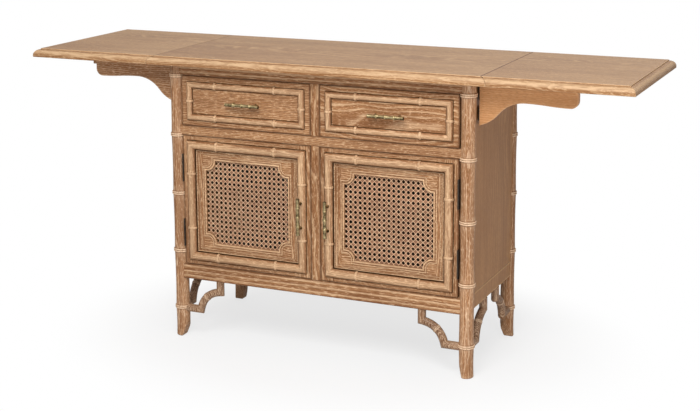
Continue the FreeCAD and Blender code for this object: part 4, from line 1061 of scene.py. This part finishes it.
FRONT_PITH = (0, 0.04, door_middle[2])
POST_PITH = (0.05, 0.9, 0)
BRACKET_PITH = (0, 0.5, 0.4)
INNER_PITH = (0, 0.4, 0.3)
INNER_GRAIN = {"ring": 8 * MM, "wander": 0.06, "amount": 0.3}
OAK_TOP = limed_oak("limed_oak_top", "x", (0, 0.0, 0.62), TOP_OAK, ring=3.6 * MM, wander=0.04, amount=0.95)
OAK_LEAF = limed_oak("limed_oak_leaves", "x", (0, 0.12, 0.70), TOP_OAK,
                     ring=3.6 * MM, wander=0.05, amount=1.15)
OAK_X = limed_oak("limed_oak_across", "x", FRONT_PITH, OAK, ring=3.4 * MM, wander=0.03)
OAK_RAIL = limed_oak("limed_oak_long_rails", "x", FRONT_PITH, OAK,
                     ring=10.5 * MM, wander=0.004, amount=1.35, flecks=LONG_FLECKS)
OAK_Z = limed_oak("limed_oak_upright", "z", UPRIGHT_PITH, OAK, ring=3.4 * MM, wander=0.03)
OAK_POST = limed_oak("limed_oak_posts", "z", POST_PITH, POST_OAK, ring=2.6 * MM, wander=0.012, amount=0.85)
OAK_BRACE = limed_oak("limed_oak_braces", "z", POST_PITH, BRACE_OAK, ring=2.6 * MM, wander=0.02, amount=1.2)
OAK_SIDE = limed_oak("limed_oak_sides", "z", (0, 0.25, 0), SIDE_OAK, ring=7 * MM, wander=0.05, amount=0.5)
OAK_DRAWER = {
    "left": limed_oak("limed_oak_left_drawer", "x", (0, -0.6, drawer_level - 0.3), OAK,
                      ring=3 * MM, wander=0.025, amount=0.9),
    "right": limed_oak("limed_oak_right_drawer", "x", (0, -0.12, drawer_level - 0.01), OAK,
                       ring=5.2 * MM, wander=0.06, amount=1.1)}
# The brackets are one wood; the right one's paler tone is painted light
OAK_BRACKET = {
    "left": limed_oak("limed_oak_left_bracket", "x", BRACKET_PITH, POST_OAK,
                      ring=3.4 * MM, wander=0.025, amount=0.8),
    "right": limed_oak("limed_oak_right_bracket_painted_light", "x", BRACKET_PITH, RIGHT_BRACKET_PAINTED_LIGHT_OAK,
                       ring=3.4 * MM, wander=0.02, amount=0.35)}
OAK_FIELD = limed_oak("limed_oak_door_fields", "x", (0, -0.15, door_middle[2]), OAK,
                      ring=6.5 * MM, wander=0.055, amount=1.05,
                      frame_at=(door_middle[0], WINDOW[0] / 2 + WINDOW_BEADS[1][0]))
# Wood inside the case, darkened as painted shade
OAK_INNER_X_PAINTED_SHADE = limed_oak("inner_oak_across_painted_shade", "x", INNER_PITH, INNER_OAK_PAINTED_SHADE, **INNER_GRAIN)
OAK_INNER_Y_PAINTED_SHADE = limed_oak("inner_oak_deep_painted_shade", "y", (0.1, 0, 0.3), INNER_OAK_PAINTED_SHADE, **INNER_GRAIN)
OAK_INNER_Z_PAINTED_SHADE = limed_oak("inner_oak_upright_painted_shade", "z", (0, 0.6, 0), INNER_OAK_PAINTED_SHADE, **INNER_GRAIN)
OAK_SHELF_PAINTED_SHADE = limed_oak("inner_oak_shelves_painted_shade", "x", INNER_PITH, SHELF_OAK_PAINTED_SHADE, ring=8 * MM, wander=0.06, amount=0.2)
CANE = woven_cane("cane", shade=(0.16, 0.068, 0.034), straw=(0.31, 0.144, 0.074),
                  painted_sheen=(0.42, 0.215, 0.118))
CANE_PALE = woven_cane("cane_diagonals", shade=(0.56, 0.31, 0.17), straw=(0.76, 0.49, 0.29),
                       painted_sheen=(0.82, 0.60, 0.39))
BRASS = metal("antique_brass", bright=(0.56, 0.45, 0.24), dull=(0.085, 0.062, 0.028),
              rough=0.30, scale=90.0, amount=0.95, metallic=1.0)
STEEL = metal("dark_steel", bright=(0.055, 0.042, 0.032), dull=(0.026, 0.02, 0.015),
              rough=0.4, scale=90.0, amount=0.8, metallic=0.7)
CATCH = metal("catch", bright=(0.50, 0.47, 0.42), dull=(0.33, 0.31, 0.28),
              rough=0.45, scale=40.0, amount=0.6, metallic=0.0)

# Front frame
for rail in ("front_top_rail", "front_middle_rail", "front_bottom_rail"):
    boards(rail, "case", [span(rail)], 0, OAK_X if "middle" in rail else OAK_RAIL)
rail_low, rail_high = span("front_middle_rail")
stile_low, stile_high = span("centre_stiles")
lower_stile = (stile_low, np.array([stile_high[0], stile_high[1], rail_low[2]]))
upper_stile = (np.array([stile_low[0], stile_low[1], rail_high[2]]), stile_high)
boards("centre_stiles", "case", [lower_stile, upper_stile], 2, OAK_Z)

# Sides and back
# The side's lower rails: lime on the long arrises, which also paints the highlight along the top edge
boards("side_lower_rails", "case", both_sides("side_lower_rails", SIDE_RAIL_THICK), 1, OAK_SIDE,
       edge=1.5 * SOFT_EDGE, rub=RAIL_LIME_AND_HIGHLIGHT)
boards("side_upper_rails", "case", both_sides("side_upper_rails", SIDE_RAIL_THICK), 1, OAK_SIDE)
boards("side_panels", "case", both_sides("side_panels", SIDE_PANEL_THICK), 2, OAK_SIDE,
       edge=FINE_EDGE, ends=True)
side_low, side_high = span("side_lower_rails")
upper_from = span("side_upper_rails")[0][2]
back_low, back_high = span("back_rails")
lower_rail = (back_low, np.array([back_high[0], back_high[1], side_high[2]]))
upper_rail = (np.array([back_low[0], back_low[1], upper_from]), back_high)
boards("back_rails", "case", [lower_rail, upper_rail], 0, OAK_X)
panel_low, panel_high = span("back_panel")
faced_from = (panel_low[1] + panel_high[1]) / 2
# The back panel: its inner face in the painted-shade inner tone, its outer face in the sides' oak
shell = Shell()
for finish, (start, stop) in enumerate(((panel_low[1], faced_from), (faced_from, panel_high[1]))):
    rounded_board(shell, (panel_low[0], start, panel_low[2]), (panel_high[0], stop, panel_high[2]),
                  0, FINE_EDGE, finish, 0.0)
shell.piece("faced_back_panel", "case", ["back_panel"], "inner_oak", OAK_INNER_X_PAINTED_SHADE, OAK_SIDE)

# Posts and braces
posts = {}
for word, side in SIDES.items():
    for place in ("front", "back"):
        name = f"post_{place}_{word}"
        low, high = span(name)
        outer = high[0] if side > 0 else low[0]
        edge = low[1] if place == "front" else high[1]
        inward = 1 if place == "front" else -1
        reach = POST_RADIUS + RING_PROUD
        posts[place, word] = np.array([outer - side * reach, edge + reach * inward])
        shut_against = (door_low[2], drawer_high[2]) if place == "front" else None
        corner_post(name, posts[place, word], OAK_POST, shut_against)
front_low, front_high = span("front_bottom_rail")
front_line = (front_low[1] + front_high[1]) / 2
side_line = side_high[0] - SIDE_RAIL_THICK / 2
shell = Shell()
for word, side in SIDES.items():
    edge = posts["front", word][0] - side * POST_RADIUS
    corner_brace(shell, (edge, front_line), (-side, 0, 0), front_low[2])
shell.piece("bent_front_braces", "case", ["front_braces"], "limed_oak", OAK_BRACE)
shell = Shell()
for word, side in SIDES.items():
    for place, inward in (("front", 1), ("back", -1)):
        edge = posts[place, word][1] + inward * POST_RADIUS
        corner_brace(shell, (side * side_line, edge), (0, inward, 0), side_low[2])
shell.piece("bent_side_braces", "case", ["side_braces"], "limed_oak", OAK_BRACE)

# Top and leaves
seam_x = top_high[0] - EDGE_ROUND
seam_z = top_high[2] - EDGE_STEP - EDGE_ROUND
shell = Shell()
moulded_board(shell, top_low, top_high)
shell.piece("moulded_centre_top", "case", ["centre_top"], "limed_oak", OAK_TOP)
for word, side in SIDES.items():
    shell = Shell()
    moulded_board(shell, *span(f"leaf_{word}"), hollow=(side, seam_x, seam_z))
    shell.piece(f"moulded_leaf_{word}", f"{word}_leaf", [f"leaf_{word}"], "limed_oak", OAK_LEAF)
    shell = Shell()
    bracket_board(shell, *span(f"bracket_{word}"), side)
    shell.piece(f"shaped_bracket_{word}", f"{word}_bracket", [f"bracket_{word}"], "limed_oak",
                OAK_BRACKET[word])
boards("leaf_block_left", "left_leaf", [span("leaf_block_left")], 1, OAK_X)

# Drawers and doors
for word in SIDES:
    drawer_front = f"drawer_front_{word}"
    boards(drawer_front, f"{word}_drawer", [span(drawer_front)], 0, OAK_DRAWER[word], ends=True)
    mitred_moulding("drawer", word, drawer_front, DRAWER_BEAD, DRAWER_NODE_INSET, OAK_X, OAK_Z)
    pull(f"drawer_pull_{word}", f"{word}_drawer", BRASS)
    door_frame(word, OAK_X, OAK_Z)
    mitred_moulding("door", word, f"door_frame_{word}", DOOR_BEAD, DOOR_NODE_INSET, OAK_X, OAK_Z)
    carved_beads(word, OAK_X)
    cane_panel(f"door_cane_{word}", f"{word}_door", CANE, CANE_PALE)
    pull(f"door_pull_{word}", f"{word}_door", BRASS)
    finish_node(f"door_panel_{word}", OAK_FIELD)
    for hung in ("door", "leaf", "bracket"):
        finish_node(f"{hung}_hinge_wings_{word}", STEEL)
    finish_node(f"drawer_box_{word}", OAK_INNER_Y_PAINTED_SHADE)

# Inside and ironwork
for hung in ("door", "leaf", "bracket"):
    finish_node(f"{hung}_hinge_plates", STEEL)
for name in ("hinge_pins", "shelf_pegs", "top_screws"):
    finish_node(name, STEEL)
# The shelves and the inside of the case take the painted-shade tones
finish_node("shelves", OAK_SHELF_PAINTED_SHADE)
for name in ("bottom_board", "dust_panel", "top_cleats"):
    finish_node(name, OAK_INNER_X_PAINTED_SHADE)
for name in ("drawer_runners", "drawer_guides"):
    finish_node(name, OAK_INNER_Y_PAINTED_SHADE)
finish_node("centre_partition", OAK_INNER_Z_PAINTED_SHADE)
finish_node("door_catches", CATCH)


# Stage, light and camera
FLOOR_REACH = 14.0
FLOOR_TONE = (0.76, 0.78)
SHADOW_REACH = (0.42, 0.82)
SHADOW_WHITE = 0.72
SURROUND_LIGHT = 0.68
LENS = 73.166
LENS_SHIFT = -0.14
EYE = (1.7923, -4.0034, 1.5566)
EYE_DOWN, EYE_ROLL, EYE_TURN = 10.506, 0.266, 23.848


def stage_floor():
    """A pale floor: to the camera mostly white, so that only a faint shadow shows, and white far away."""
    mesh = bpy.data.meshes.new("pale_floor")
    corners = FLOOR_REACH * np.array([(-1, -1, 0), (1, -1, 0), (1, 1, 0), (-1, 1, 0)])
    mesh.from_pydata(corners, [], [(0, 1, 2, 3)])
    material, w, shader = new_material("pale_floor", Roughness=0.9, Specular_IOR_Level=0.1)
    place = w.here()
    w.join(w.range(w.noise(place, 1.5), 0.3, 0.7, *FLOOR_TONE), shader.inputs["Base Color"])
    away = w.length(w.stretch(place, (0.8, 1.0, 1.0)))
    white = w.add("ShaderNodeEmission", {"Color": (1, 1, 1, 1), "Strength": 1.0})
    seen = w.add("ShaderNodeLightPath", output="Is Camera Ray")
    share = w.math("MULTIPLY", w.range(away, *SHADOW_REACH, SHADOW_WHITE, 1.0), seen)
    blend = w.add("ShaderNodeMixShader", {0: share, 1: shader.outputs[0], 2: white})
    w.join(blend, w.tree.nodes["Material Output"].inputs["Surface"])
    mesh.materials.append(material)
    floor = bpy.data.objects.new("pale_floor", mesh)
    bpy.context.collection.objects.link(floor)


def white_world(strength):
    """A pale surround: white to the camera, and elsewhere a light of a strength, dimmer to the sides."""
    world = bpy.data.worlds.new("pale_surround")
    bpy.context.scene.world = world
    world.use_nodes = True
    w = Wiring(world.node_tree)
    background = world.node_tree.nodes["Background"]
    seen = [w.add("ShaderNodeLightPath", output=label)
            for label in ("Is Camera Ray", "Is Glossy Ray", "Is Transmission Ray")]
    shown = w.math("MAXIMUM", w.math("MAXIMUM", seen[0], seen[1]), seen[2])
    background.inputs["Color"].default_value = (1, 1, 1, 1)
    sideways = w.add("ShaderNodeSeparateXYZ", {0: w.add("ShaderNodeTexCoord", output="Generated")})
    left, right = w.range(sideways, -1.0, 0.1, 0.4, 1.0), w.range(sideways, 0.1, 1.0, 1.0, 0.15)
    dim = w.math("MAXIMUM", w.math("MULTIPLY", left, right), seen[0])
    level = w.math("ADD", w.math("MULTIPLY", shown, 1.0 - strength), strength)
    w.join(w.math("MULTIPLY", level, dim), background.inputs["Strength"])


def soft_light(name, place, target, size, power):
    """A square soft box at a place, turned down and round by the angles of its line to a target."""
    lamp = bpy.data.lights.new(name, "AREA")
    lamp.size = size
    lamp.energy = power
    thing = bpy.data.objects.new(name, lamp)
    bpy.context.collection.objects.link(thing)
    thing.location = place
    aim = np.array(target) - np.array(place)
    down = math.atan2(math.hypot(aim[0], aim[1]), -aim[2])
    thing.rotation_euler = (down, 0, math.atan2(aim[1], aim[0]) - math.pi / 2)


stage_floor()
white_world(SURROUND_LIGHT)
soft_light("key_light", place=(0.65, -2.75, 3.35), target=(0, 0, 0.5), size=1.9, power=128)
soft_light("fill_light", place=(1.85, -1.5, 0.75), target=(0.46, -0.1, 0.35), size=0.7, power=9)

camera = bpy.data.cameras.new("photo_view")
camera.sensor_width = 36.0
camera.lens = LENS
camera.shift_y = LENS_SHIFT
eye = bpy.data.objects.new("photo_view", camera)
bpy.context.collection.objects.link(eye)
eye.location = EYE
eye.rotation_euler = (math.radians(90 - EYE_DOWN), math.radians(EYE_ROLL), math.radians(EYE_TURN))
bpy.context.scene.camera = eye
bpy.context.scene.view_settings.view_transform = "Standard"
